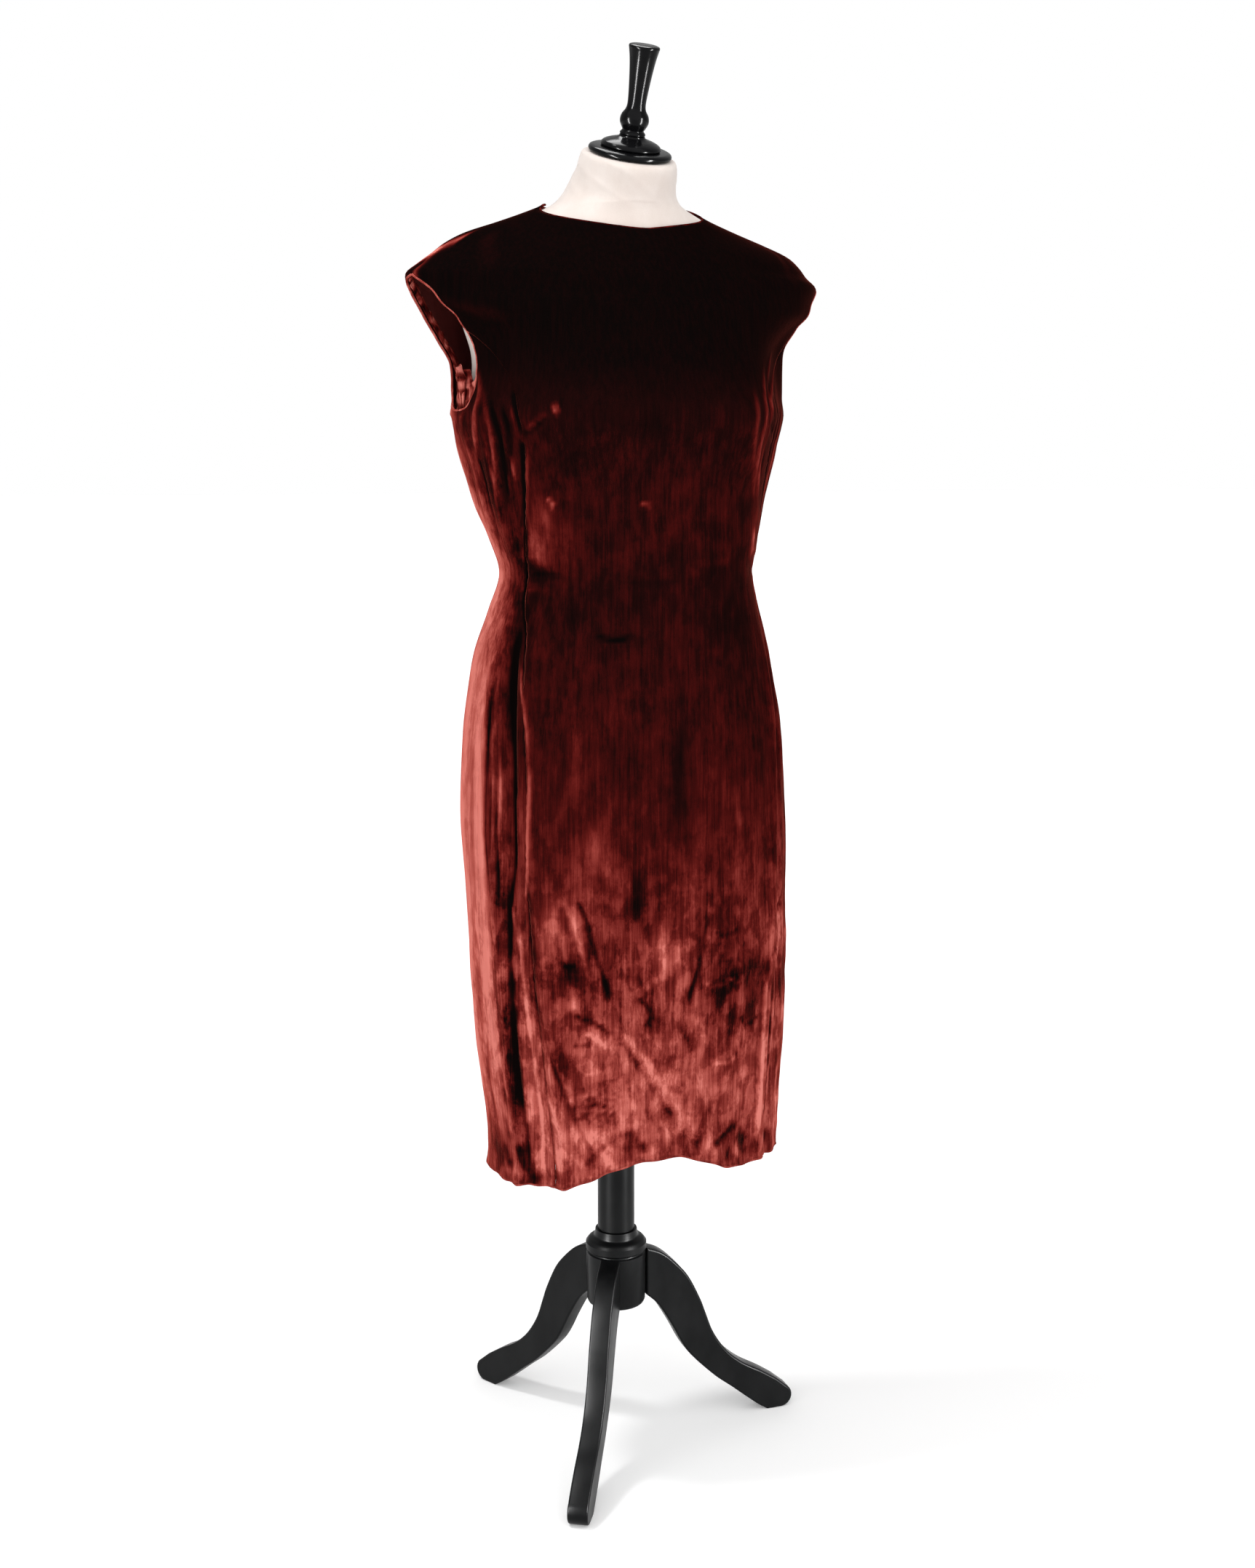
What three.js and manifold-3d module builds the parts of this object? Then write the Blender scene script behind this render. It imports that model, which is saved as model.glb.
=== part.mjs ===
// A knee-length velvet cocktail dress with cap sleeves, standing on a turned tripod dress form.
// Millimetres, +Z up. The wearer's front looks along -Y and the wearer's left is +X.
import * as THREE from 'three';
import { mergeVertices } from 'three/addons/utils/BufferGeometryUtils.js';
import Module from 'manifold-3d';

const wasm = await Module();
wasm.setup();

// Cloth
const clothThickness = 1.8;
const seamGap = 0.3;
const hemHeight = 343;
const hemLift = 28;
const hemLiftAngle = -6;
const hemLiftSpreadRight = 24;
const hemLiftSpreadLeft = 21;
const hemBlend = 200;
const underarmHeight = 1133;
const seamTopHeight = 1205;
const capTipHeight = 1263;
const neckPointHeight = 1337;
const neckFrontDrop = 28.5;
const neckCentreAngle = -5;
const neckRounding = 9;
const neckReach = 77;
const neckCurve = 1.12;
const neckBackRise = 3;
const neckBlendHeight = 1215;
const bandThickness = 1.2;

// Bust shaping under the cloth
const bustHeight = 1116;
const bustSide = 86;
const bustSwell = 9;
const bustSpreadSide = 34;
const bustSpreadUp = 46;

// Form and stand
const torsoBottom = 612;
const torsoClearance = 3.2;
const capTilt = THREE.MathUtils.degToRad(20.3);
const capForward = 36.2;
const capHeight = 1383.5;
const capRadius = 42.1;
const finialLength = 83;
const poleRadius = 20.3;
const poleTop = 700;
const poleFit = 0.6;
const hubRadius = 32.3;
const hubTop = 242;
const hubBottom = 156;
const legReach = 212;
const legThickness = 22;
const legTurn = -34.6;
const legCount = 3;
const standShift = [0, -8];

// Zip at the centre back
const zipTop = 1332;
const zipDrop = 36;
const sliderLength = 10;
const sliderWidth = 7.6;
const sliderPlate = 1.6;
const sliderLift = 0.4;
const lugWidth = 1.4;
const pinRadius = 0.7;
const pinOut = 3.7;
const pinUp = 2.4 - sliderLength;
const pullLength = 24;
const pullWidth = 3.6;
const pullThickness = 1.2;
const pullEye = 1.05;
const pullRing = 1.8;

// Outer surface of the dress by height: half breadths of the front and back halves, reach of the
// front and back from the pole's axis, power of the rounded outline, sideways drift of the section.
const sections = [
  { z: 300, frontHalf: 164, backHalf: 164, front: 138, back: 78, power: 2.3, drift: 4 },
  { z: 370, frontHalf: 159, backHalf: 159, front: 141, back: 75, power: 2.3, drift: 5 },
  { z: 457, frontHalf: 167, backHalf: 167, front: 144, back: 84, power: 2.25, drift: 5 },
  { z: 555, frontHalf: 172, backHalf: 172, front: 148, back: 90, power: 2.2, drift: 3 },
  { z: 652, frontHalf: 175, backHalf: 175, front: 148, back: 96, power: 2.15, drift: 1 },
  { z: 724, frontHalf: 177, backHalf: 177, front: 146, back: 103, power: 2.1, drift: 0 },
  { z: 806, frontHalf: 172, backHalf: 172, front: 144, back: 105, power: 2.1, drift: 0 },
  { z: 841, frontHalf: 167, backHalf: 167, front: 141, back: 104, power: 2.1, drift: 0 },
  { z: 888, frontHalf: 158, backHalf: 158, front: 139, back: 102, power: 2.1, drift: 0 },
  { z: 934, frontHalf: 143, backHalf: 143, front: 138, back: 89, power: 2.1, drift: 0 },
  { z: 968, frontHalf: 134, backHalf: 134, front: 138, back: 80, power: 2.1, drift: 0 },
  { z: 1002, frontHalf: 142, backHalf: 142, front: 137, back: 91, power: 2.1, drift: 0 },
  { z: 1047, frontHalf: 155, backHalf: 155, front: 135, back: 116, power: 2.1, drift: 0 },
  { z: 1092, frontHalf: 167, backHalf: 167, front: 139, back: 126, power: 2.1, drift: 0 },
  { z: 1126, frontHalf: 174, backHalf: 174, front: 144, back: 129, power: 2.1, drift: 0 },
  { z: 1148, frontHalf: 170, backHalf: 174, front: 141, back: 129, power: 2.05, drift: 0 },
  { z: 1180, frontHalf: 169, backHalf: 177, front: 133, back: 127, power: 2.0, drift: 0 },
  { z: 1200, frontHalf: 176, backHalf: 190, front: 127, back: 124, power: 1.95, drift: 0 },
  { z: 1219, frontHalf: 196, backHalf: 204, front: 121, back: 119, power: 1.9, drift: 1 },
  { z: 1232, frontHalf: 214, backHalf: 213, front: 117, back: 115, power: 1.85, drift: 2 },
  { z: 1245, frontHalf: 221, backHalf: 221, front: 111, back: 111, power: 1.8, drift: 3 },
  { z: 1263, frontHalf: 228, backHalf: 228, front: 105, back: 104, power: 1.7, drift: 4 },
  { z: 1274, frontHalf: 216, backHalf: 216, front: 99, back: 99, power: 1.65, drift: 5 },
  { z: 1284, frontHalf: 205, backHalf: 205, front: 94, back: 94, power: 1.6, drift: 8 },
  { z: 1295, frontHalf: 191, backHalf: 191, front: 86, back: 89, power: 1.55, drift: 9 },
  { z: 1306, frontHalf: 166, backHalf: 166, front: 78, back: 84, power: 1.5, drift: 6 },
  { z: 1317, frontHalf: 132, backHalf: 132, front: 73, back: 79, power: 1.55, drift: 4 },
  { z: 1328, frontHalf: 99, backHalf: 99, front: 70, back: 75, power: 1.7, drift: 1 },
  { z: 1337, frontHalf: 77, backHalf: 77, front: 69, back: 72, power: 2.0, drift: 0 },
  { z: 1345, frontHalf: 69, backHalf: 69, front: 68, back: 70, power: 2.0, drift: 0 },
];

// Angles, in degrees from the centre front, of the side-front seam and of the armhole's two edges
const seamLine = [
  { z: 300, angle: 46 }, { z: 440, angle: 49 }, { z: 630, angle: 53 }, { z: 760, angle: 51 },
  { z: 888, angle: 58.5 }, { z: 964, angle: 70 }, { z: 1049, angle: 57 }, { z: 1105, angle: 53 },
  { z: 1150, angle: 57 }, { z: 1180, angle: 64 }, { z: 1205, angle: 72.6 },
];
const armholeFront = [
  { z: 1133, angle: 85 }, { z: 1144, angle: 80.5 }, { z: 1160, angle: 77.2 }, { z: 1193, angle: 75.3 },
  { z: 1212, angle: 72.8 }, { z: 1226, angle: 70 }, { z: 1244, angle: 71.6 }, { z: 1255, angle: 75.5 },
  { z: 1263, angle: 82 },
];
const armholeBack = [
  { z: 1133, angle: 98 }, { z: 1144, angle: 103.5 }, { z: 1160, angle: 108 }, { z: 1180, angle: 110.5 },
  { z: 1200, angle: 109.5 },
  { z: 1221, angle: 107.5 }, { z: 1241, angle: 103 }, { z: 1254, angle: 95 }, { z: 1263, angle: 82 },
];
const shoulderSeam = [
  { z: 1263, angle: 82 }, { z: 1283, angle: 84 }, { z: 1306, angle: 87 }, { z: 1337, angle: 90 },
];

// Largest folds: each runs from (lowAngle, low) to (highAngle, high), out is its height over the cloth
const folds = [
  { low: 230, lowAngle: -38, high: 905, highAngle: -55, out: 4.5, width: 9 },
  { low: 230, lowAngle: -51, high: 930, highAngle: -64, out: -6, width: 11 },
  { low: 230, lowAngle: -66, high: 900, highAngle: -74, out: 3.5, width: 10 },
  { low: 230, lowAngle: 49, high: 905, highAngle: 63, out: -5, width: 11 },
  { low: 230, lowAngle: 37, high: 880, highAngle: 52, out: 4, width: 10 },
  { low: 230, lowAngle: 66, high: 860, highAngle: 76, out: 3, width: 11 },
  { low: 230, lowAngle: 20, high: 600, highAngle: -24, out: -3.5, width: 13 },
  { low: 230, lowAngle: 30, high: 560, highAngle: -12, out: 4, width: 13 },
  { low: 230, lowAngle: 42, high: 520, highAngle: 20, out: -3, width: 13 },
  { low: 230, lowAngle: -158, high: 700, highAngle: -152, out: 3.5, width: 13 },
  { low: 230, lowAngle: -134, high: 640, highAngle: -146, out: -4, width: 13 },
  { low: 230, lowAngle: 150, high: 660, highAngle: 158, out: 3.5, width: 13 },
  { low: 230, lowAngle: 126, high: 620, highAngle: 138, out: -4, width: 13 },
  { low: 985, lowAngle: -77, high: 1115, highAngle: -72, out: 3, width: 9 },
  { low: 985, lowAngle: 77, high: 1115, highAngle: 72, out: 3, width: 9 },
  { low: 1160, lowAngle: 74, high: 1205, highAngle: 74, out: 19, width: 24 },
];
const foldEnds = 60;

// Heights of the cloth's rows, from the hem to the neck point
const rowHeights = [
  hemHeight, 358, 378, 408, 446, 490, 540, 590, 640, 690, 740, 790, 835, 875, 908, 940, 968, 996, 1024, 1052,
  1080, 1107, underarmHeight, 1144, 1160, 1180, seamTopHeight, 1219, 1232, 1245, 1255, capTipHeight,
  1273, 1284, 1295, 1306, 1317, 1327, neckPointHeight,
];
const frontColumns = 26;
const backColumns = 12;
const underarmColumns = 3;
const tabColumns = 3;

// Torso of the form by height: half breadth, and reach to the front and back
const torsoSections = [
  { z: 612, half: 156, front: 122, back: 80, power: 2.05 },
  { z: 640, half: 163, front: 130, back: 86, power: 2.05 },
  { z: 724, half: 167, front: 134, back: 94, power: 2.05 },
  { z: 806, half: 162, front: 132, back: 96, power: 2.05 },
  { z: 888, half: 148, front: 125, back: 92, power: 2.05 },
  { z: 934, half: 132, front: 116, back: 79, power: 2.1 },
  { z: 968, half: 125, front: 112, back: 71, power: 2.1 },
  { z: 1002, half: 132, front: 116, back: 81, power: 2.1 },
  { z: 1047, half: 147, front: 128, back: 106, power: 2.1 },
  { z: 1092, half: 156, front: 135, back: 120, power: 2.1 },
  { z: 1126, half: 157, front: 139, back: 123, power: 2.1 },
  { z: 1160, half: 152, front: 133, back: 122, power: 2.1 },
  { z: 1190, half: 152, front: 125, back: 120, power: 2.05 },
  { z: 1215, half: 162, front: 117, back: 115, power: 2.0 },
  { z: 1250, half: 179, front: 104, back: 104, power: 1.9 },
  { z: 1270, half: 187, front: 95, back: 96, power: 1.8 },
  { z: 1284, half: 187, front: 88, back: 90, power: 1.65 },
];
const torsoShoulderHalf = 186;
const torsoShoulderHeights = [1291, 1299, 1307, 1316, 1325];
const torsoSides = 44;

// Neck rings: forward centre, height, half breadth, half depth and forward tilt in degrees
const neckRings = [
  { forward: 1, z: 1333.5, half: 73, depth: 67.5, tilt: 0 },
  { forward: 8, z: 1341, half: 62.5, depth: 62, tilt: 5 },
  { forward: 15, z: 1350, half: 56, depth: 57, tilt: 10 },
  { forward: 24, z: 1362, half: 51.5, depth: 53, tilt: 15 },
  { forward: 33.5, z: 1377, half: 49, depth: 50.5, tilt: 20.3 },
  { forward: 35.4, z: 1381.6, half: 47.4, depth: 48.6, tilt: 20.3 },
  { forward: 36.1, z: 1383.2, half: 44.5, depth: 44.5, tilt: 20.3 },
];

const materials = {
  velvet: new THREE.MeshStandardMaterial({ color: 0x5a1a15, roughness: 0.85, metalness: 0 }),
  jersey: new THREE.MeshStandardMaterial({ color: 0xefe2d8, roughness: 0.9, metalness: 0 }),
  lacquer: new THREE.MeshStandardMaterial({ color: 0x0e0e0f, roughness: 0.25, metalness: 0 }),
  paint: new THREE.MeshStandardMaterial({ color: 0x151516, roughness: 0.5, metalness: 0 }),
  metal: new THREE.MeshStandardMaterial({ color: 0x4a2420, roughness: 0.35, metalness: 0.9 }),
};

const { degToRad, lerp, clamp, smoothstep } = THREE.MathUtils;

// Value of a table's column at a height, on a smooth curve through its rows
function track(rows, column, z) {
  const last = rows.length - 1;
  if (z <= rows[0].z) return rows[0][column];
  if (z >= rows[last].z) return rows[last][column];
  const i = rows.findIndex((row) => row.z > z) - 1;
  const slope = (k) => {
    const a = rows[Math.max(k - 1, 0)];
    const b = rows[Math.min(k + 1, last)];
    return (b[column] - a[column]) / (b.z - a.z);
  };
  const step = rows[i + 1].z - rows[i].z;
  const u = (z - rows[i].z) / step;
  const ease = u * u * (3 - 2 * u);
  const bend = step * u * (1 - u) * ((1 - u) * slope(i) - u * slope(i + 1));
  return lerp(rows[i][column], rows[i + 1][column], ease) + bend;
}

// Point of a rounded section at an angle from the centre front
function sectionPoint(section, angle, z) {
  const a = degToRad(angle);
  const half = Math.abs(angle) <= 90 ? section.frontHalf : section.backHalf;
  const curve = 2 / section.power;
  const middle = (section.front - section.back) / 2;
  const depth = (section.front + section.back) / 2;
  const x = half * Math.sign(Math.sin(a)) * Math.abs(Math.sin(a)) ** curve;
  const y = middle + depth * Math.sign(Math.cos(a)) * Math.abs(Math.cos(a)) ** curve;
  return new THREE.Vector3(x + section.drift, -y, z);
}

function dressSection(z) {
  const section = {};
  for (const column of ['frontHalf', 'backHalf', 'front', 'back', 'power', 'drift']) {
    section[column] = track(sections, column, z);
  }
  return section;
}

// How far the folds lift the cloth off its plain section
function foldLift(angle, z, radius) {
  let lift = 0;
  for (const fold of folds) {
    const along = (z - fold.low) / (fold.high - fold.low);
    const centre = lerp(fold.lowAngle, fold.highAngle, clamp(along, 0, 1));
    const away = degToRad(angle - centre) * radius / fold.width;
    const fade = smoothstep(z, fold.low - foldEnds, fold.low + foldEnds)
      * (1 - smoothstep(z, fold.high - foldEnds, fold.high + foldEnds));
    lift += fold.out * fade * Math.exp(-away * away);
  }
  return lift;
}

function bustLift(point) {
  if (point.y > 0) return 0;
  const up = (point.z - bustHeight) / bustSpreadUp;
  const side = (Math.abs(point.x) - bustSide) / bustSpreadSide;
  return bustSwell * Math.exp(-up * up - side * side);
}

// Outer surface of the cloth
function skin(angle, z) {
  const section = dressSection(z);
  const point = sectionPoint(section, angle, z);
  const outward = new THREE.Vector2(point.x, point.y);
  const radius = outward.length();
  outward.normalize().multiplyScalar(foldLift(angle, z, radius));
  return point.add(new THREE.Vector3(outward.x, outward.y - bustLift(point), 0));
}

// Outward normal and sideways direction of the cloth, taken across any seam
function skinFrame(angle, z) {
  const sideways = skin(angle + 0.6, z).sub(skin(angle - 0.6, z)).normalize();
  const upward = skin(angle, z + 1).sub(skin(angle, z - 1)).normalize();
  const normal = new THREE.Vector3().crossVectors(sideways, upward).normalize();
  return { sideways, normal };
}

// Height of a row at an angle: rows follow the hem at the bottom and the neckline at the top
function rowAt(angle, level) {
  const away = (angle - hemLiftAngle) / (angle < hemLiftAngle ? hemLiftSpreadRight : hemLiftSpreadLeft);
  const hem = hemLift * Math.exp(-away * away) * clamp(1 - (level - hemHeight) / hemBlend, 0, 1);
  const top = clamp((level - neckBlendHeight) / (neckPointHeight - neckBlendHeight), 0, 1);
  const aside = Math.hypot(angle - neckCentreAngle, neckRounding) - neckRounding;
  const neck = Math.abs(angle) <= 90
    ? -neckFrontDrop * (1 - Math.min(aside / neckReach, 1) ** neckCurve)
    : -neckBackRise * Math.cos(degToRad(angle));
  return level + hem + neck * top;
}

// Half angle of the front panel at a height: seam, armhole edge, then shoulder seam
function frontEnd(z) {
  if (z <= seamTopHeight) return track(seamLine, 'angle', z);
  if (z <= capTipHeight) return track(armholeFront, 'angle', z);
  return track(shoulderSeam, 'angle', z);
}

function backEnd(z) {
  if (z <= underarmHeight) return armholeBack[0].angle;
  if (z <= capTipHeight) return track(armholeBack, 'angle', z);
  return track(shoulderSeam, 'angle', z);
}

// A closed wall over a grid of surface spots; a spot has a point, a normal and a shift along a seam
function clothWall(name, grid, present, inset, thickness) {
  const rows = grid.length;
  const columns = grid[0].length;
  const positions = [];
  const index = (side, r, c) => side * rows * columns + r * columns + c;
  for (const depth of [inset, inset + thickness]) {
    for (const row of grid) {
      for (const spot of row) {
        const p = spot.point.clone().addScaledVector(spot.normal, -depth).add(spot.shift);
        positions.push(p.x, p.y, p.z);
      }
    }
  }
  const faces = [];
  const leftHand = (i) => positions[3 * i] > 0;
  const quad = (a, b, c, d, turned) => {
    if (turned) faces.push(a, b, d, b, c, d);
    else faces.push(a, b, c, a, c, d);
  };
  const has = (r, c) => r >= 0 && c >= 0 && r < rows - 1 && c < columns - 1 && present(r, c);
  for (let r = 0; r < rows - 1; r += 1) {
    for (let c = 0; c < columns - 1; c += 1) {
      if (!has(r, c)) continue;
      const corners = [[r, c], [r, c + 1], [r + 1, c + 1], [r + 1, c]];
      const outer = corners.map(([i, j]) => index(0, i, j));
      const inner = corners.map(([i, j]) => index(1, i, j));
      // A moved-in wall is split along the other diagonal, to match the inside of the wall over it
      const mirrored = (leftHand(outer[0]) && leftHand(outer[2])) !== (inset > 0);
      quad(...outer, mirrored);
      quad(...[...inner].reverse(), mirrored);
      const beyond = [has(r - 1, c), has(r, c + 1), has(r + 1, c), has(r, c - 1)];
      beyond.forEach((covered, k) => {
        const n = (k + 1) % 4;
        if (!covered) quad(outer[n], outer[k], inner[k], inner[n], k === 1);
      });
    }
  }
  return closedMesh(name, positions, faces, materials.velvet);
}

// A mesh from points and faces, with only the points that its faces use
function closedMesh(name, positions, faces, material) {
  const used = new Map();
  const kept = [];
  const indices = faces.map((i) => {
    if (!used.has(i)) {
      used.set(i, kept.length / 3);
      kept.push(positions[3 * i], positions[3 * i + 1], positions[3 * i + 2]);
    }
    return used.get(i);
  });
  const geometry = new THREE.BufferGeometry();
  geometry.setAttribute('position', new THREE.Float32BufferAttribute(kept, 3));
  geometry.setIndex(indices);
  geometry.computeVertexNormals();
  return named(name, geometry, material);
}

function named(name, geometry, material) {
  const mesh = new THREE.Mesh(geometry, material);
  mesh.name = name;
  return mesh;
}

// One spot of the cloth; seamSide is -1 or 1 where the spot lies on a seam that it backs away from
function clothSpot(angle, level, seamSide) {
  const z = rowAt(angle, level);
  const { sideways, normal } = skinFrame(angle, z);
  return { point: skin(angle, z), normal, shift: sideways.multiplyScalar(seamSide * seamGap / 2) };
}

function frontPanel() {
  const grid = rowHeights.map((level) => {
    const end = frontEnd(level);
    return Array.from({ length: frontColumns + 1 }, (_, c) => {
      const across = 2 * c / frontColumns - 1;
      const seamSide = c === 0 ? 1 : c === frontColumns ? -1 : 0;
      return clothSpot(across * end, level, seamSide);
    });
  });
  return clothWall('dress_front', grid, () => true, 0, clothThickness);
}

// Share of the way from the side-front seam to the back of the armhole at which its front edge starts
const underarmSeam = track(seamLine, 'angle', underarmHeight);
const tabShare = (armholeFront[0].angle - underarmSeam) / (armholeBack[0].angle - underarmSeam);

// Angles of a back panel's columns, from the centre back round under the arm to the side-front seam
function backAngles(level) {
  const armhole = backEnd(level);
  const seam = level <= seamTopHeight ? track(seamLine, 'angle', level) : armhole;
  const front = level > seamTopHeight ? armhole
    : level > underarmHeight ? track(armholeFront, 'angle', level)
      : lerp(seam, armhole, tabShare);
  const angles = [];
  for (let c = 0; c <= backColumns; c += 1) angles.push(lerp(180, armhole, c / backColumns));
  for (let c = 1; c <= underarmColumns; c += 1) angles.push(lerp(armhole, front, c / underarmColumns));
  for (let c = 1; c <= tabColumns; c += 1) angles.push(lerp(front, seam, c / tabColumns));
  return angles;
}

// Spots of a back panel, row by row from the hem, ordered from the wearer's right to the left
function backSpots(side) {
  const lastColumn = backColumns + underarmColumns + tabColumns;
  const grid = rowHeights.map((level) => backAngles(level).map((angle, c) => {
    const onShoulder = c === backColumns && level >= capTipHeight;
    const onSideSeam = c === lastColumn && level <= seamTopHeight;
    const seamSide = c === 0 ? -1 : onShoulder || onSideSeam ? 1 : 0;
    return clothSpot(side * angle, level, side * seamSide);
  }));
  return side > 0 ? grid.map((row) => [...row].reverse()) : grid;
}

function backPanel(name, side) {
  const underarmRow = rowHeights.indexOf(underarmHeight);
  const tabRow = rowHeights.indexOf(seamTopHeight);
  const tabStart = backColumns + underarmColumns;
  const lastColumn = tabStart + tabColumns;
  const present = (r, column) => {
    const c = side > 0 ? lastColumn - 1 - column : column;
    return r < underarmRow || c < backColumns || (r < tabRow && c >= tabStart);
  };
  return clothWall(name, backSpots(side), present, 0, clothThickness);
}

// Turned-in edge of a back armhole, made from the back panel's own points, moved in
function armholeBand(name, side) {
  const lowRow = rowHeights.indexOf(underarmHeight) + 1;
  const highRow = rowHeights.indexOf(capTipHeight) - 1;
  const edge = side > 0 ? underarmColumns + tabColumns : backColumns - 1;
  const present = (r, c) => r >= lowRow && r < highRow && c === edge;
  return clothWall(name, backSpots(side), present, clothThickness + seamGap, bandThickness);
}

// A solid lofted through closed rings, capped flat at both ends
function loft(name, rings, material) {
  const sides = rings[0].length;
  const positions = rings.flat().flatMap((p) => [p.x, p.y, p.z]);
  const faces = [];
  for (let r = 0; r < rings.length - 1; r += 1) {
    for (let s = 0; s < sides; s += 1) {
      const a = r * sides + s;
      const b = r * sides + (s + 1) % sides;
      faces.push(a, b, b + sides, a, b + sides, a + sides);
    }
  }
  const top = (rings.length - 1) * sides;
  for (let s = 1; s < sides - 1; s += 1) {
    faces.push(0, s + 1, s, top, top + s, top + s + 1);
  }
  return closedMesh(name, positions, faces, material);
}

function torsoRing(z) {
  const shoulder = dressSection(z + torsoClearance);
  const low = z <= torsoSections[torsoSections.length - 1].z;
  const section = low
    ? {
      frontHalf: track(torsoSections, 'half', z), backHalf: track(torsoSections, 'half', z),
      front: track(torsoSections, 'front', z), back: track(torsoSections, 'back', z),
      power: track(torsoSections, 'power', z), drift: shoulder.drift,
    }
    : {
      ...shoulder, frontHalf: Math.min(shoulder.frontHalf, torsoShoulderHalf),
      backHalf: Math.min(shoulder.backHalf, torsoShoulderHalf),
      front: shoulder.front - torsoClearance, back: shoulder.back - torsoClearance,
    };
  return Array.from({ length: torsoSides }, (_, s) => {
    const point = sectionPoint(section, -180 + 360 * s / torsoSides, z);
    point.y -= 0.75 * bustLift(point);
    return point;
  });
}

function neckRing({ forward, z, half, depth, tilt }) {
  const lean = degToRad(tilt);
  return Array.from({ length: torsoSides }, (_, s) => {
    const a = degToRad(-180 + 360 * s / torsoSides);
    const ahead = depth * Math.cos(a);
    return new THREE.Vector3(
      half * Math.sin(a), -forward - ahead * Math.cos(lean), z - ahead * Math.sin(lean));
  });
}

// The torso is turned on the pole, so its underside has a socket that the pole's top sits in
function torso() {
  const heights = [...torsoSections.map((row) => row.z), ...torsoShoulderHeights];
  const rings = [...heights.map(torsoRing), ...neckRings.map(neckRing)];
  const socketRing = (z) => Array.from({ length: torsoSides }, (_, s) => {
    const a = degToRad(-180 + 360 * s / torsoSides);
    const r = poleRadius + poleFit;
    return new THREE.Vector3(r * Math.sin(a), -r * Math.cos(a), z);
  });
  return loft('form_torso', [socketRing(poleTop + seamGap), socketRing(torsoBottom), ...rings],
    materials.jersey);
}

// Turned parts of the neck cap, on an axis that leans forward with the neck
function turned(name, profile, material, sides) {
  const points = profile.map(([r, z]) => new THREE.Vector2(r, z));
  const geometry = new THREE.LatheGeometry(points, sides).rotateX(Math.PI / 2);
  return named(name, weld(geometry), material);
}

function weld(geometry) {
  const plain = geometry.clone();
  plain.deleteAttribute('normal');
  plain.deleteAttribute('uv');
  const merged = mergeVertices(plain, 1e-4);
  const position = merged.getAttribute('position');
  const index = merged.getIndex().array;
  const kept = [];
  for (let i = 0; i < index.length; i += 3) {
    const [a, b, c] = [index[i], index[i + 1], index[i + 2]];
    if (a !== b && b !== c && a !== c) kept.push(a, b, c);
  }
  const closed = new THREE.BufferGeometry();
  closed.setAttribute('position', position);
  closed.setIndex(kept);
  closed.computeVertexNormals();
  return closed;
}

function neckCap() {
  const group = new THREE.Group();
  group.position.set(0, -capForward, capHeight);
  group.rotation.x = capTilt;
  const disc = turned('neck_cap_disc', [
    [0, 0.3], [capRadius - 2.5, 0.3], [capRadius - 0.6, 1.4], [capRadius, 3.4], [capRadius - 0.8, 5.4],
    [capRadius - 3, 6.6], [capRadius - 5, 7], [0, 7],
  ], materials.lacquer, 40);
  const dome = turned('neck_cap_dome', [
    [0, 7.3], [29.5, 7.3], [30.4, 8.6], [30, 10.4], [27.6, 12.6], [22.5, 14.8], [16.5, 16.6],
    [13.4, 18], [12.8, 19.4], [0, 19.4],
  ], materials.lacquer, 36);
  const finial = turned('finial', [
    [0, 19.7], [12.2, 19.7], [12.9, 21.4], [11.6, 23.2], [10.8, 24.6], [12.4, 27.4], [14.2, 31.4],
    [14.4, 35.4], [13.2, 39.4], [10.8, 43], [9.6, 46], [9.2, 50], [9.4, 56], [10.2, 66],
    [11.6, 80], [13.2, 92], [14.8, 100], [15.4, 102.6], [14.9, 104.2], [13, 105], [0, 105],
  ], materials.lacquer, 28);
  group.add(disc, dome, finial);
  return group;
}

function pole() {
  return turned('pole', [[0, hubTop + 0.3], [poleRadius, hubTop + 0.3], [poleRadius, poleTop - 2],
    [poleRadius - 2, poleTop], [0, poleTop]], materials.paint, 40);
}

function hub() {
  return turned('hub', [
    [0, hubBottom], [hubRadius - 5, hubBottom], [hubRadius - 1.6, hubBottom + 1.6],
    [hubRadius, hubBottom + 5], [hubRadius, hubTop - 27], [hubRadius - 1.4, hubTop - 25.6],
    [hubRadius - 1.4, hubTop - 23.6], [hubRadius + 0.4, hubTop - 22], [hubRadius + 0.4, hubTop - 14.5],
    [hubRadius - 2.6, hubTop - 10.5], [hubRadius - 7.4, hubTop - 8], [hubRadius - 9, hubTop - 5],
    [hubRadius - 9.6, hubTop], [0, hubTop],
  ], materials.paint, 40);
}

// Side outline of a cabriole leg: out is the distance from the hub's face, up the height over the floor
const legTopEdge = [
  [0, 217], [20, 208], [39, 190.5], [52, 173.5], [65, 147], [71, 131], [81, 105], [97, 81], [117, 63],
  [142, 48], [160, 36],
];
const legBottomEdge = [
  [149, 0], [137, 8], [119, 22.5], [104, 35], [83, 52], [58, 77], [45, 94], [30, 122], [14, 148], [0, 162],
];
const footRadius = 13.5;
const footTopAngle = 59;

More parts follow.
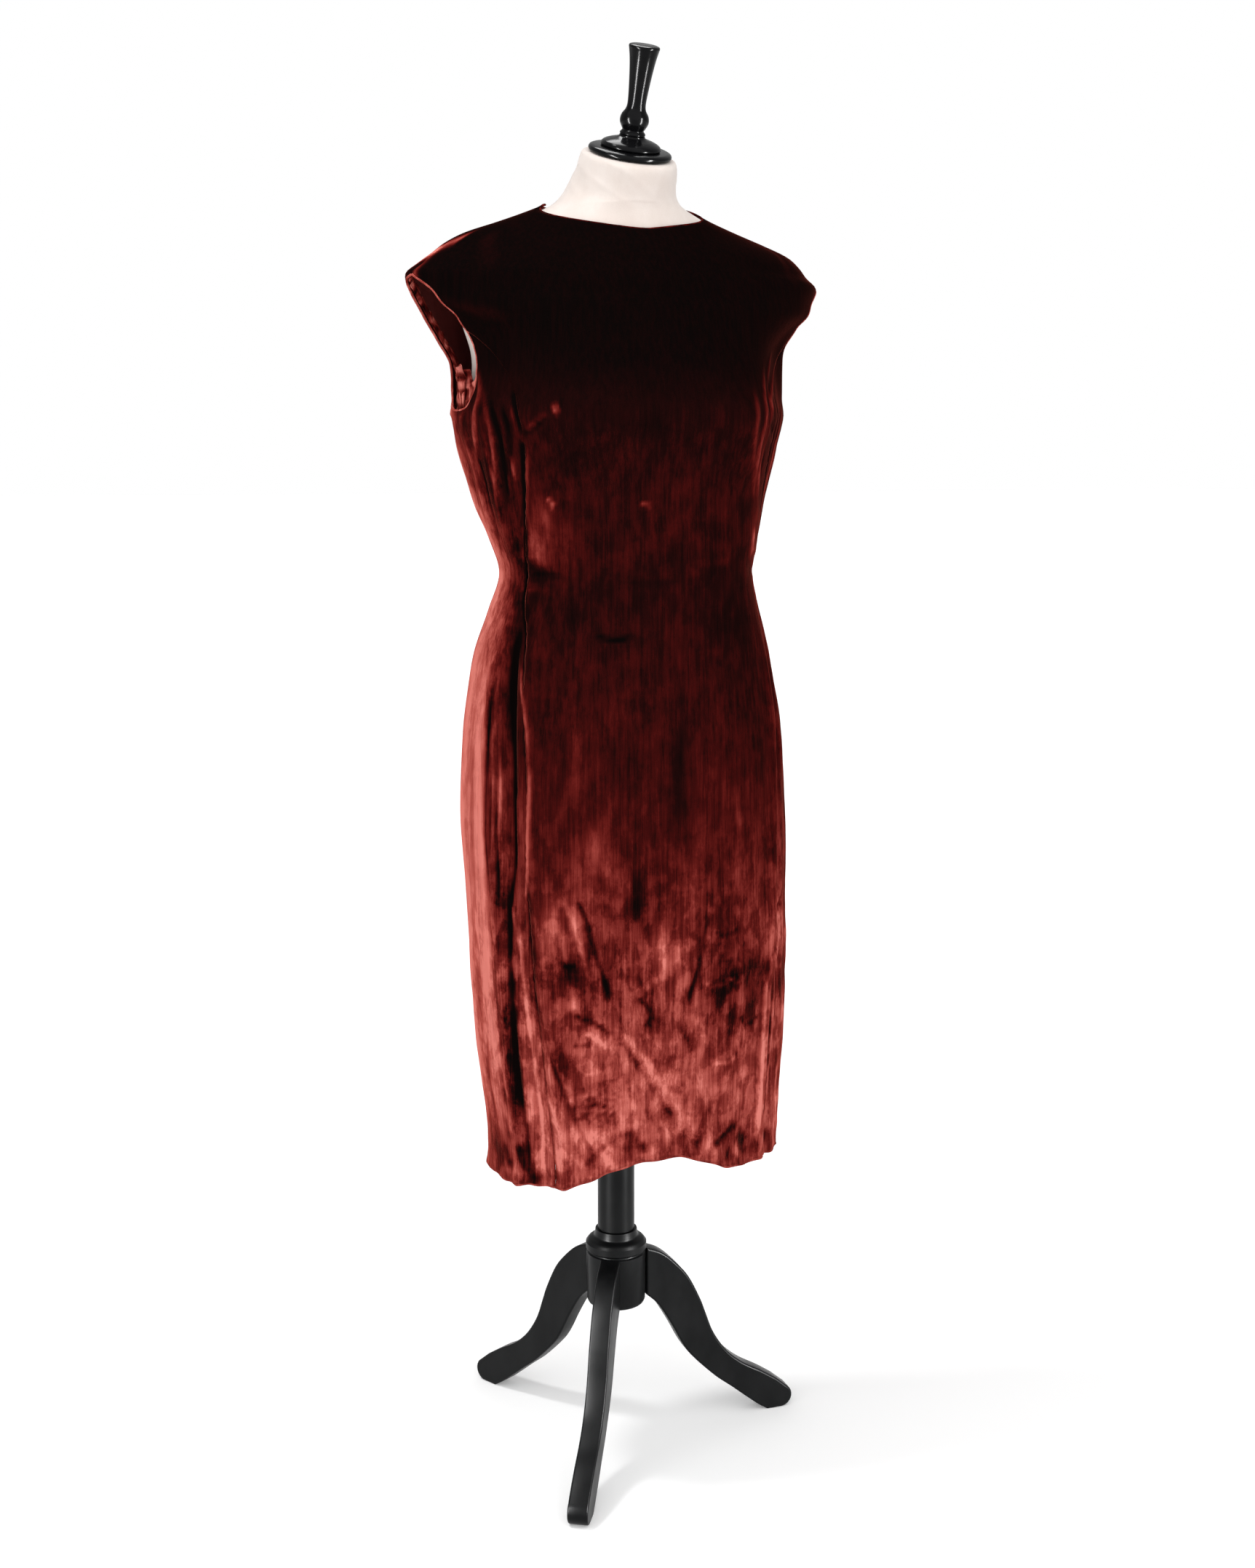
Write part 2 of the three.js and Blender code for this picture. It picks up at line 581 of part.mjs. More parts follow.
function leg(name, turn) {
  const shape = new THREE.Shape();
  const start = hubRadius + 0.3;
  const end = legReach;
  const top = legTopEdge.map(([out, up]) => new THREE.Vector2(start + out, up));
  const bottom = legBottomEdge.map(([out, up]) => new THREE.Vector2(start + out, up));
  shape.moveTo(top[0].x, top[0].y);
  shape.splineThru(top.slice(1));
  shape.absarc(end - footRadius, footRadius, footRadius, degToRad(footTopAngle), degToRad(-90), true);
  shape.lineTo(bottom[0].x, bottom[0].y);
  shape.splineThru(bottom.slice(1));
  shape.closePath();
  const geometry = new THREE.ExtrudeGeometry(shape, {
    depth: legThickness - 3, bevelThickness: 1.5, bevelSize: 1.5, bevelOffset: -1.5, bevelSegments: 1,
    curveSegments: 3,
  });
  geometry.translate(0, 0, 1.5 - legThickness / 2).rotateX(Math.PI / 2);
  const mesh = named(name, weld(geometry), materials.paint);
  mesh.rotation.z = degToRad(turn - 90);
  return mesh;
}

function solidOf(geometry) {
  const welded = weld(geometry);
  return new wasm.Manifold(new wasm.Mesh({
    numProp: 3,
    vertProperties: new Float32Array(welded.getAttribute('position').array),
    triVerts: new Uint32Array(welded.getIndex().array),
  }));
}

function geometryOf(solid) {
  const { vertProperties, triVerts } = solid.getMesh();
  const geometry = new THREE.BufferGeometry();
  geometry.setAttribute('position', new THREE.BufferAttribute(vertProperties, 3));
  geometry.setIndex(Array.from(triVerts));
  geometry.computeVertexNormals();
  return geometry;
}

// Slider of the centre back zip: a plate on the seam, two lugs and a pin between them.
// X runs across the seam, Y off the cloth and Z up the seam.
function zipSlider() {
  const outline = new THREE.Shape();
  outline.moveTo(-sliderWidth / 2, -sliderLength);
  outline.lineTo(sliderWidth / 2, -sliderLength);
  outline.lineTo(sliderWidth / 2, -sliderLength / 3);
  outline.quadraticCurveTo(sliderWidth / 2, 0, 0, 0);
  outline.quadraticCurveTo(-sliderWidth / 2, 0, -sliderWidth / 2, -sliderLength / 3);
  outline.closePath();
  const plate = new THREE.ExtrudeGeometry(outline, {
    depth: sliderPlate, bevelEnabled: false, curveSegments: 5,
  }).rotateX(Math.PI / 2).translate(0, sliderPlate, 0);
  let solid = solidOf(plate);
  const lugHeight = pinOut + pinRadius + 0.8;
  const lugCentre = pullWidth / 2 + seamGap + lugWidth / 2;
  for (const side of [-1, 1]) {
    const lug = new THREE.BoxGeometry(lugWidth, lugHeight - 0.5, 3.2)
      .translate(side * lugCentre, (lugHeight + 0.5) / 2, pinUp);
    solid = solid.add(solidOf(lug));
  }
  const pin = new THREE.CylinderGeometry(pinRadius, pinRadius, 2 * lugCentre, 12)
    .rotateZ(Math.PI / 2).translate(0, pinOut, pinUp);
  return named('zip_slider', geometryOf(solid.add(solidOf(pin))), materials.metal);
}

// Pull tab: an eye round the slider's pin and a flat tongue that hangs down the seam
function zipPull() {
  const neck = Math.acos(pullThickness / 2 / pullRing);
  const tip = pullThickness / 2;
  const outline = new THREE.Shape();
  outline.absarc(0, 0, pullRing, -neck, Math.PI + neck, false);
  outline.lineTo(-tip, -pullLength + tip);
  outline.absarc(0, -pullLength + tip, tip, Math.PI, 2 * Math.PI, false);
  outline.closePath();
  const eye = new THREE.Path();
  eye.absarc(0, 0, pullEye, 0, 2 * Math.PI, true);
  outline.holes.push(eye);
  const geometry = new THREE.ExtrudeGeometry(outline, {
    depth: pullWidth, bevelEnabled: false, curveSegments: 10,
  }).rotateX(Math.PI / 2).rotateZ(Math.PI / 2).translate(-pullWidth / 2, pinOut, pinUp);
  return named('zip_pull', weld(geometry), materials.metal);
}

// The zip's head, leaning with the cloth of the back neck
function zip() {
  const high = skin(180, zipTop);
  const low = skin(180, zipTop - zipDrop);
  const lean = Math.atan2(low.y - high.y, zipDrop);
  const group = new THREE.Group();
  group.add(zipSlider(), zipPull());
  group.position.copy(high);
  group.position.x = 0;
  group.position.y += sliderLift / Math.cos(lean);
  group.rotation.x = lean;
  return group;
}

const object = new THREE.Group();
const dressAndForm = new THREE.Group();
dressAndForm.add(
  frontPanel(), backPanel('dress_back_left', 1), backPanel('dress_back_right', -1),
  armholeBand('armhole_band_left', 1), armholeBand('armhole_band_right', -1),
  torso(), neckCap(), zip());
const stand = new THREE.Group();
stand.add(pole(), hub());
for (let k = 0; k < legCount; k += 1) {
  stand.add(leg(`leg_${k + 1}`, legTurn + 360 * k / legCount));
}
object.add(dressAndForm, stand);
object.position.set(standShift[0], standShift[1], 0);

export default object;
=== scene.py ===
"""A velvet cocktail dress with cap sleeves on its turned dress form, in a pale studio.

The cloth's tables are millimetres over the floor and degrees from the centre front, the same as in the
part's source. The wearer's front looks along -Y and the wearer's left is +X.
"""
import logging
import math
from collections.abc import Callable, Iterable, Sequence
from dataclasses import dataclass, field
from enum import Enum

import bmesh
import bpy
import numpy as np
from mathutils import Matrix, Vector, noise


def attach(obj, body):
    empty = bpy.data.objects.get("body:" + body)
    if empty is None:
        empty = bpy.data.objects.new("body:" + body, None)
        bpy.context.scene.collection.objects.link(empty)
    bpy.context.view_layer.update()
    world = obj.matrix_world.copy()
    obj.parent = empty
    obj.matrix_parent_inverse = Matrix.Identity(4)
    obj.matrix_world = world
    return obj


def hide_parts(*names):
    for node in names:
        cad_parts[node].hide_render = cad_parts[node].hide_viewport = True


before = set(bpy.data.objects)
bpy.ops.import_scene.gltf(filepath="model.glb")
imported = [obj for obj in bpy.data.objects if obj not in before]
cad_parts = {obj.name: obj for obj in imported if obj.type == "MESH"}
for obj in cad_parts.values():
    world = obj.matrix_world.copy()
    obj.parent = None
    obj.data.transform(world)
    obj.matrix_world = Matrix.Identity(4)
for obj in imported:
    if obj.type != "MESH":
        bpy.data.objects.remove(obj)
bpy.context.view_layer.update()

MM = 0.001
STAND_SHIFT = np.array([0.0, -8.0, 0.0])
LOG = logging.getLogger("dress")
Colour = tuple[float, float, float]


class Side(Enum):
    """Which side of the wearer a piece is on, as the sign of its X."""

    RIGHT = -1
    LEFT = 1

    @property
    def word(self) -> str:
        """The side's name at the end of a piece's name."""
        return self.name.lower()


class Edge(Enum):
    """The open edges of the dress."""

    NECK = "neck_edge"
    HEM = "hem_edge"
    ARMHOLE = "armhole_edge"


@dataclass(frozen=True)
class Roll:
    """A turned edge: the painted sheen of its colour, and its radius."""

    nap: float
    radius: float


ROLLS = {Edge.NECK: Roll(0.34, 1.05), Edge.HEM: Roll(0.62, 1.25), Edge.ARMHOLE: Roll(0.80, 1.25)}


@dataclass(frozen=True)
class Section:
    """One level of the dress: breadths and reaches of its rounded outline."""

    z: float
    front_half: float
    back_half: float
    front: float
    back: float
    power: float
    drift: float


@dataclass(frozen=True)
class Bearing:
    """Angle of a seam or an edge at a height."""

    z: float
    angle: float


@dataclass(frozen=True)
class Fold:
    """A large fold from (low_angle, low) to (high_angle, high), raised by out over a half width."""

    low: float
    low_angle: float
    high: float
    high_angle: float
    out: float
    width: float


@dataclass(frozen=True)
class Crease:
    """A soft ridge, or a trough where out is negative, along a line of (angle, height) points.

    Its fourth value is the painted highlight that it lays on the colour, painted shade where it is negative,
    and fade the share of its length at each end over which it dies away.
    """

    path: tuple[tuple[float, float], ...]
    out: float
    width: float
    highlight_shade: float = 0.0
    fade: float = 0.3


@dataclass(frozen=True)
class Stroke:
    """A soft patch of painted sheen laid on the colour, painted shade where negative, centred at (angle, z).
    """

    angle: float
    z: float
    across: float
    up: float
    highlight_shade: float


@dataclass(frozen=True)
class TorsoSection:
    """One level of the form's torso."""

    z: float
    half: float
    front: float
    back: float
    power: float


@dataclass(frozen=True)
class NeckRing:
    """One ring of the form's neck: forward centre, height, half breadth, half depth, forward tilt."""

    forward: float
    z: float
    half: float
    depth: float
    tilt: float


def track(rows: Sequence[object], column: str, z: np.ndarray) -> np.ndarray:
    """Read a table's column at heights, on the smooth curve that the part's source uses.

    Args:
        rows: table rows with a z and the named column.
        column: name of the column.
        z: heights to read at.

    Returns:
        The values, shaped as z.
    """
    heights = np.array([row.z for row in rows], dtype=float)
    values = np.array([getattr(row, column) for row in rows], dtype=float)
    last = len(rows) - 1
    order = np.arange(last + 1)
    before, after = np.maximum(order - 1, 0), np.minimum(order + 1, last)
    slopes = (values[after] - values[before]) / (heights[after] - heights[before])
    z = np.clip(np.asarray(z, dtype=float), heights[0], heights[last])
    i = np.clip(np.searchsorted(heights, z, side="right") - 1, 0, last - 1)
    step = heights[i + 1] - heights[i]
    u = (z - heights[i]) / step
    bend = step * u * (1 - u) * ((1 - u) * slopes[i] - u * slopes[i + 1])
    return values[i] + (values[i + 1] - values[i]) * u * u * (3 - 2 * u) + bend


def rows_of(kind: type, *values: tuple) -> list:
    """Make a table, one row of the kind from each tuple."""
    return [kind(*value) for value in values]


def smoothstep(low: float, high: float, value: np.ndarray) -> np.ndarray:
    """Ease from 0 at low to 1 at high."""
    u = np.clip((value - low) / (high - low), 0, 1)
    return u * u * (3 - 2 * u)


def section_points(angle: np.ndarray, z: np.ndarray, front_half: np.ndarray, back_half: np.ndarray,
                   front: np.ndarray, back: np.ndarray, power: np.ndarray,
                   drift: np.ndarray) -> np.ndarray:
    """Place points on rounded sections.

    Args:
        angle: degrees from the centre front.
        z: heights.
        front_half: half breadth of the front half.
        back_half: half breadth of the back half.
        front: reach to the front.
        back: reach to the back.
        power: power of the rounded outline.
        drift: sideways shift of the section.

    Returns:
        Points with a last axis of x, y and z.
    """
    a = np.radians(angle)
    half = np.where(np.abs(angle) <= 90, front_half, back_half)
    sine, cosine = np.sin(a), np.cos(a)
    x = half * np.sign(sine) * np.abs(sine) ** (2 / power) + drift
    ahead = (front - back) / 2 + (front + back) / 2 * np.sign(cosine) * np.abs(cosine) ** (2 / power)
    return np.stack([x, -ahead, np.broadcast_to(z, x.shape)], axis=-1)


def curve_through(points: Sequence[Sequence[float]], steps: int) -> np.ndarray:
    """Draw a smooth curve through points.

    Args:
        points: the points, of any dimension.
        steps: spans between two neighbours.

    Returns:
        Points along the curve, ends included.
    """
    p = np.array(points, dtype=float)
    if len(p) < 3:
        return np.linspace(p[0], p[-1], steps + 1)
    p = np.vstack([2 * p[0] - p[1], p, 2 * p[-1] - p[-2]])
    parts = []
    for i in range(1, len(p) - 2):
        t = np.linspace(0, 1, steps, endpoint=False)[:, None]
        a, b, c, d = p[i - 1], p[i], p[i + 1], p[i + 2]
        parts.append(0.5 * (2 * b + (c - a) * t + (2 * a - 5 * b + 4 * c - d) * t ** 2
                            + (3 * b - a - 3 * c + d) * t ** 3))
    return np.vstack([*parts, p[-2][None]])


def rounded(points: Sequence[tuple[float, float]], steps: int = 5) -> list[tuple[float, float]]:
    """Round a run of profile points."""
    return [tuple(point) for point in curve_through(points, steps)]


def grain(points: np.ndarray, size: Sequence[float], seed: float) -> np.ndarray:
    """Read seeded soft noise at points.

    Args:
        points: millimetre points, one a row.
        size: size of the noise's cells along each axis, in millimetres.
        seed: offset that gives each use its own noise.

    Returns:
        One value a point, about -1 to 1.
    """
    scaled = points / np.array(size, dtype=float) + seed
    return np.array([noise.noise(Vector(p)) for p in scaled])


def add_mesh(name: str, points: np.ndarray, faces: Sequence[Sequence[int]], smooth: bool = True,
             sharp_angle: float | None = None) -> bpy.types.Object:
    """Make an object from millimetre points in the dress form's frame.

    Args:
        name: name of the piece.
        points: one point a row.
        faces: indices of each face's corners.
        smooth: whether faces are shaded smooth.
        sharp_angle: degrees above which an edge stays sharp.

    Returns:
        The new object, linked to the scene.
    """
    mesh = bpy.data.meshes.new(name)
    mesh.from_pydata(((np.asarray(points) + STAND_SHIFT) * MM).tolist(), [], [list(f) for f in faces])
    mesh.update()
    if smooth:
        mesh.shade_smooth()
    if sharp_angle is not None:
        mesh.set_sharp_from_angle(angle=math.radians(sharp_angle))
    piece = bpy.data.objects.new(name, mesh)
    bpy.context.scene.collection.objects.link(piece)
    return piece


def set_sheen_and_crush(piece: bpy.types.Object, nap: np.ndarray | float, crush: np.ndarray | float) -> None:
    """Keep the painted sheen and shade of the velvet's colour, and how crushed it is, on a piece, for its
    material.

    Args:
        piece: a piece of velvet.
        nap: the painted sheen and shade of its colour, one number or one a vertex.
        crush: how crushed it is, one number or one a vertex.
    """
    count = len(piece.data.vertices)
    for name, values in (("nap", nap), ("crush", crush)):
        layer = piece.data.attributes.new(name, "FLOAT", "POINT")
        spread = np.broadcast_to(np.ravel(values), count)
        layer.data.foreach_set("value", np.array(spread, dtype=np.float32))


def thicken(piece: bpy.types.Object, thickness: float, offset: float = 0) -> bpy.types.Modifier:
    """Make a shell of a sheet.

    Args:
        piece: the sheet.
        thickness: millimetres of cloth.
        offset: -1 to thicken it inwards only, 0 to both sides.

    Returns:
        The modifier.
    """
    shell = piece.modifiers.new("thickness", "SOLIDIFY")
    shell.thickness = thickness * MM
    shell.offset = offset
    return shell


def ease_edges(piece: bpy.types.Object, width: float, segments: int) -> bpy.types.Modifier:
    """Round a piece's edges over a width in millimetres."""
    ease = piece.modifiers.new("rounded", "BEVEL")
    ease.width = width * MM
    ease.segments = segments
    return ease


def grid_faces(rows: int, columns: int, around: bool = False,
               present: np.ndarray | None = None) -> list[tuple[int, int, int, int]]:
    """List the faces of a grid of points.

    Args:
        rows: number of rows of points.
        columns: points in a row.
        around: whether the last column joins the first.
        present: which cells have a face, all of them if left out.

    Returns:
        Four corner indices a face.
    """
    faces = []
    for r in range(rows - 1):
        for c in range(columns if around else columns - 1):
            if present is not None and not present[r, c]:
                continue
            n = (c + 1) % columns
            faces.append((r * columns + c, r * columns + n, (r + 1) * columns + n, (r + 1) * columns + c))
    return faces


def lathe(name: str, profile: Sequence[tuple[float, float]], sides: int = 96,
          sharp_angle: float = 35) -> bpy.types.Object:
    """Turn a profile about the Z axis.

    Args:
        name: name of the piece.
        profile: (radius, height) points, from axis to axis.
        sides: number of facets round the axis.
        sharp_angle: degrees above which an edge stays sharp.

    Returns:
        The turned piece.
    """
    turns = 2 * np.pi * np.arange(sides) / sides
    rings, caps, start = [], [], 0
    for radius, height in profile:
        if radius < 1e-6:
            rings.append(np.array([[0, 0, height]]))
        else:
            ring = [radius * np.cos(turns), radius * np.sin(turns), np.full(sides, height)]
            rings.append(np.stack(ring, axis=-1))
        caps.append((start, len(rings[-1])))
        start += len(rings[-1])
    faces = []
    for (low, low_count), (high, high_count) in zip(caps, caps[1:]):
        for s in range(sides):
            n = (s + 1) % sides
            if low_count == 1:
                faces.append((low, high + n, high + s))
            elif high_count == 1:
                faces.append((low + s, low + n, high))
            else:
                faces.append((low + s, low + n, high + n, high + s))
    return add_mesh(name, np.vstack(rings), faces, sharp_angle=sharp_angle)


def tube(path: np.ndarray, radius: np.ndarray | float, sides: int = 8,
         closed: bool = False) -> tuple[np.ndarray, list[tuple[int, ...]]]:
    """Sweep a round section along a path.

    Args:
        path: points along the path, one a row.
        radius: radius, or one radius a point.
        sides: points round the section.
        closed: whether the path is a loop.

    Returns:
        The tube's points and faces.
    """
    count = len(path)
    ahead, behind = np.roll(path, -1, axis=0), np.roll(path, 1, axis=0)
    if not closed:
        ahead[-1], behind[0] = path[-1], path[0]
    along = ahead - behind
    along /= np.linalg.norm(along, axis=1, keepdims=True)
    up = np.where(np.abs(along[:, 2:3]) > 0.9, [[1.0, 0, 0]], [[0, 0, 1.0]])
    across = np.cross(along, up)
    across /= np.linalg.norm(across, axis=1, keepdims=True)
    for i in range(1, count):
        if np.dot(across[i], across[i - 1]) < 0.2:
            across[i] = across[i - 1] - along[i] * np.dot(across[i - 1], along[i])
            across[i] /= np.linalg.norm(across[i])
    over = np.cross(across, along)
    turns = 2 * np.pi * np.arange(sides) / sides
    ring = across[:, None] * np.cos(turns)[None, :, None] + over[:, None] * np.sin(turns)[None, :, None]
    reach = np.broadcast_to(np.asarray(radius, dtype=float), (count,))[:, None, None]
    points = (path[:, None] + ring * reach).reshape(-1, 3)
    faces: list[tuple[int, ...]] = list(grid_faces(count, sides, around=True))
    if closed:
        last = (count - 1) * sides
        faces += [(last + s, last + (s + 1) % sides, (s + 1) % sides, s) for s in range(sides)]
    else:
        faces.append(tuple(range(sides))[::-1])
        faces.append(tuple((count - 1) * sides + s for s in range(sides)))
    return points, faces


def join_parts(parts: Iterable[tuple[np.ndarray, list[tuple[int, ...]]]]
               ) -> tuple[np.ndarray, list[tuple[int, ...]]]:
    """Put several lots of points and faces into one.

    Args:
        parts: pairs of points and faces.

    Returns:
        All the points, and the faces renumbered.
    """
    points, faces, start = [], [], 0
    for part_points, part_faces in parts:
        points.append(part_points)
        faces += [tuple(i + start for i in face) for face in part_faces]
        start += len(part_points)
    return np.vstack(points), faces


class Finish:
    """Nodes of one material, with short calls to add and join them."""

    def __init__(self, name: str) -> None:
        """Start a material with one Principled shader."""
        self.material = bpy.data.materials.new(name)
        self.material.use_nodes = True
        self.nodes = self.material.node_tree.nodes
        self.links = self.material.node_tree.links
        self.shader = self.nodes["Principled BSDF"]

    def add(self, kind: str, inputs: dict[str | int, object] | None = None,
            **settings: object) -> bpy.types.Node:
        """Add a node.

        Args:
            kind: type of the node.
            inputs: values of its sockets.
            **settings: its own properties.

        Returns:
            The node.
        """
        node = self.nodes.new(kind)
        for key, value in settings.items():
            setattr(node, key, value)
        for key, value in (inputs or {}).items():
            node.inputs[key].default_value = value
        return node

    def join(self, start: bpy.types.NodeSocket, end: bpy.types.NodeSocket) -> None:
        """Join an output to an input."""
        self.links.new(start, end)

    def math(self, operation: str, a: bpy.types.NodeSocket,
             b: bpy.types.NodeSocket | float) -> bpy.types.NodeSocket:
        """Add a sum of two values.

        Args:
            operation: what the node works out.
            a: first socket.
            b: second socket, or a number.

        Returns:
            The result's socket.
        """
        node = self.add("ShaderNodeMath", operation=operation)
        self.join(a, node.inputs[0])
        if isinstance(b, (int, float)):
            node.inputs[1].default_value = b
        else:
            self.join(b, node.inputs[1])
        return node.outputs[0]

    def blend(self, a: bpy.types.NodeSocket, b: bpy.types.NodeSocket,
              share: float) -> bpy.types.NodeSocket:
        """Mix two values.

        Args:
            a: first value.
            b: second value.
            share: share of the first, the rest being the second's.

        Returns:
            The result's socket.
        """
        return self.math("ADD", self.math("MULTIPLY", a, share), self.math("MULTIPLY", b, 1 - share))

    def noise(self, scale: Sequence[float], detail: float, roughness: float = 0.55) -> bpy.types.NodeSocket:
        """Add noise in the piece's own metres.

        Args:
            scale: cells a metre along each axis.
            detail: octaves of finer noise.
            roughness: strength of the finer octaves.

        Returns:
            The noise's socket.
        """
        place = self.add("ShaderNodeTexCoord")
        stretch = self.add("ShaderNodeMapping", {"Scale": tuple(scale)})
        texture = self.add("ShaderNodeTexNoise", {"Scale": 1.0, "Detail": detail, "Roughness": roughness})
        self.join(place.outputs["Object"], stretch.inputs["Vector"])
        self.join(stretch.outputs["Vector"], texture.inputs["Vector"])
        return texture.outputs["Fac"]

    def colour(self, value: bpy.types.NodeSocket, stops: Sequence[tuple[float, Colour]]) -> None:
        """Colour the surface by a value.

        Args:
            value: the value's socket.
            stops: pairs of a value and a linear colour.
        """
        node = self.add("ShaderNodeValToRGB")
        elements = node.color_ramp.elements
        while len(elements) < len(stops):
            elements.new(0.5)
        for element, (position, colour) in zip(elements, stops):
            element.position = position
            element.color = (*colour, 1)
        self.join(value, node.inputs[0])
        self.join(node.outputs[0], self.shader.inputs["Base Color"])

    def bump(self, height: bpy.types.NodeSocket, strength: float, distance: float,
             normal: bpy.types.NodeSocket | None = None) -> None:
        """Raise a surface's fine relief.

        Args:
            height: the relief's socket.
            strength: how much of it shows.
            distance: its real height in metres.
            normal: the normal that it is laid on.
        """
        node = self.add("ShaderNodeBump", {"Strength": strength, "Distance": distance})
        self.join(height, node.inputs["Height"])
        if normal is not None:
            self.join(normal, node.inputs["Normal"])
        self.join(node.outputs["Normal"], self.shader.inputs["Normal"])

    def set(self, **values: object) -> None:
        """Set the shader's own sockets; an underscore in a name stands for a space."""
        for key, value in values.items():
            self.shader.inputs[key.replace("_", " ")].default_value = value


@dataclass(frozen=True)
class PileMark:
    """One scale of marks in the pile: cells a metre, octaves, softness of edge, and strength.

    still is its strength on smooth cloth, and crushed what it gains where the velvet is crushed.
    """

    cells: tuple[float, float, float]
    detail: float
    edge: float
    still: float
    crushed: float


@dataclass(frozen=True)
class Velvet:
    """Crushed silk velvet, with painted sheen and shade: near black where its fibres are looked into, salmon
    where they lie over.
    """

    # Colours of the painted sheen and shade, from near black to salmon
    sheen_shade_tones: tuple[tuple[float, Colour], ...] = (
        (0.07, (0.0030, 0.0019, 0.0018)), (0.17, (0.0130, 0.0025, 0.0024)), (0.30, (0.047, 0.0038, 0.0035)),
        (0.42, (0.100, 0.0085, 0.0069)), (0.54, (0.168, 0.0190, 0.0152)), (0.68, (0.278, 0.0435, 0.0340)),
        (0.84, (0.43, 0.090, 0.071)), (1.0, (0.66, 0.19, 0.155)))
    streaks: PileMark = PileMark((260, 260, 11), 5, 0.12, 0.070, 0.15)
    patches: PileMark = PileMark((70, 70, 40), 7, 0.055, 0.010, 0.25)
    blotches: PileMark = PileMark((24, 24, 15), 5, 0.10, 0.010, 0.18)
    breaks: PileMark = PileMark((40, 40, 120), 5, 0.07, 0.0, 0.05)
    hairs: PileMark = PileMark((1000, 1000, 35), 2, 0.16, 0.050, 0.05)
    tufts: PileMark = PileMark((1300, 1300, 900), 2, 0.30, 0.050, 0.06)
    sheen_tint: tuple[float, float, float, float] = (1.0, 0.17, 0.12, 1)
    lean: float = 0.35
    calm_between: tuple[float, float] = (0.06, 0.30)
    calm_least: float = 0.22
    streak_relief: float = 0.35
    patch_relief: float = 0.45
    tuft_relief: float = 0.2
    still_relief: float = 0.15
    relief_depth: float = 0.0012

    def make(self) -> bpy.types.Material:
        """Build the velvet's material."""
        finish = Finish("velvet_highlight_shade")
        # The painted sheen and shade kept on each vertex picks the colour, with mottle added below
        shade = finish.add("ShaderNodeAttribute", attribute_name="nap").outputs["Fac"]
        crush = finish.add("ShaderNodeAttribute", attribute_name="crush").outputs["Fac"]
        dark, pale = self.calm_between
        calm = finish.add("ShaderNodeMapRange", {"From Min": dark, "From Max": pale,
                                                 "To Min": self.calm_least})
        finish.join(shade, calm.inputs["Value"])
        marks = []
        for layer in (self.streaks, self.patches, self.blotches, self.breaks, self.hairs, self.tufts):
            mark = finish.add("ShaderNodeMapRange", {"From Min": 0.5 - layer.edge, "To Min": -0.5,
                                                     "From Max": 0.5 + layer.edge, "To Max": 0.5})
            finish.join(finish.noise(layer.cells, layer.detail, 0.6), mark.inputs["Value"])
            reach = finish.math("ADD", finish.math("MULTIPLY", crush, layer.crushed), layer.still)
            reach = finish.math("MULTIPLY", reach, calm.outputs["Result"])
            marks.append(mark.outputs["Result"])
            shade = finish.math("ADD", shade, finish.math("MULTIPLY", marks[-1], reach))
        finish.colour(shade, self.sheen_shade_tones)
        normal = finish.add("ShaderNodeNewGeometry").outputs["Normal"]
        leaning = finish.add("ShaderNodeVectorMath", operation="ADD")
        leaning.inputs[1].default_value = (0, 0, -self.lean)
        finish.join(normal, leaning.inputs[0])
        unit = finish.add("ShaderNodeVectorMath", operation="NORMALIZE")
        finish.join(leaning.outputs[0], unit.inputs[0])
        relief = finish.math("ADD", finish.math("MULTIPLY", marks[0], self.streak_relief),
                             finish.math("MULTIPLY", marks[1], self.patch_relief))
        relief = finish.math("ADD", relief, finish.math("MULTIPLY", marks[-1], self.tuft_relief))
        relief = finish.math("MULTIPLY", relief, finish.math("ADD", crush, self.still_relief))
        finish.bump(relief, 0.6, self.relief_depth, unit.outputs[0])
        finish.set(Roughness=0.85, Specular_IOR_Level=0.0, Sheen_Weight=0.30, Sheen_Roughness=0.25,
                   Sheen_Tint=self.sheen_tint)
        return finish.material


@dataclass(frozen=True)
class VelvetBack:
    """The dull woven back of the velvet, inside the dress."""

    colour: Colour = (0.085, 0.012, 0.011)
    worn: Colour = (0.15, 0.028, 0.024)

    def make(self) -> bpy.types.Material:
        """Build the cloth back's material."""
        finish = Finish("velvet_back")
        weave = finish.noise((1600, 1600, 2200), 2)
        wear = finish.noise((45, 45, 20), 4)
        finish.colour(finish.blend(weave, wear, 0.4), [(0.35, self.colour), (0.7, self.worn)])
        finish.bump(weave, 0.4, 0.0003)
        finish.set(Roughness=0.85, Specular_IOR_Level=0.15)
        return finish.material


@dataclass(frozen=True)
class Jersey:
    """Cream stretch jersey over the form."""

    cream: Colour = (0.715, 0.640, 0.592)
    shade: Colour = (0.630, 0.540, 0.487)

    def make(self) -> bpy.types.Material:
        """Build the jersey's material."""
        finish = Finish("cream_jersey")
        knit = finish.noise((1500, 1500, 1500), 2)
        cloud = finish.noise((30, 30, 18), 4)
        finish.colour(finish.blend(knit, cloud, 0.35), [(0.3, self.shade), (0.62, self.cream)])
        finish.bump(knit, 0.35, 0.0003)
        finish.set(Roughness=0.8, Specular_IOR_Level=0.2, Sheen_Weight=0.25, Sheen_Roughness=0.5)
        return finish.material


@dataclass(frozen=True)
class Lacquer:
    """Black gloss lacquer of the neck cap and finial."""

    low: Colour = (0.0025, 0.0025, 0.003)
    high: Colour = (0.005, 0.005, 0.0055)

    def make(self) -> bpy.types.Material:
        """Build the lacquer's material."""
        finish = Finish("black_lacquer")
        ripple = finish.noise((60, 60, 60), 3)
        finish.colour(ripple, [(0.3, self.low), (0.7, self.high)])
        finish.bump(ripple, 0.12, 0.0006)
        finish.set(Roughness=0.17, Specular_IOR_Level=0.07)
        return finish.material


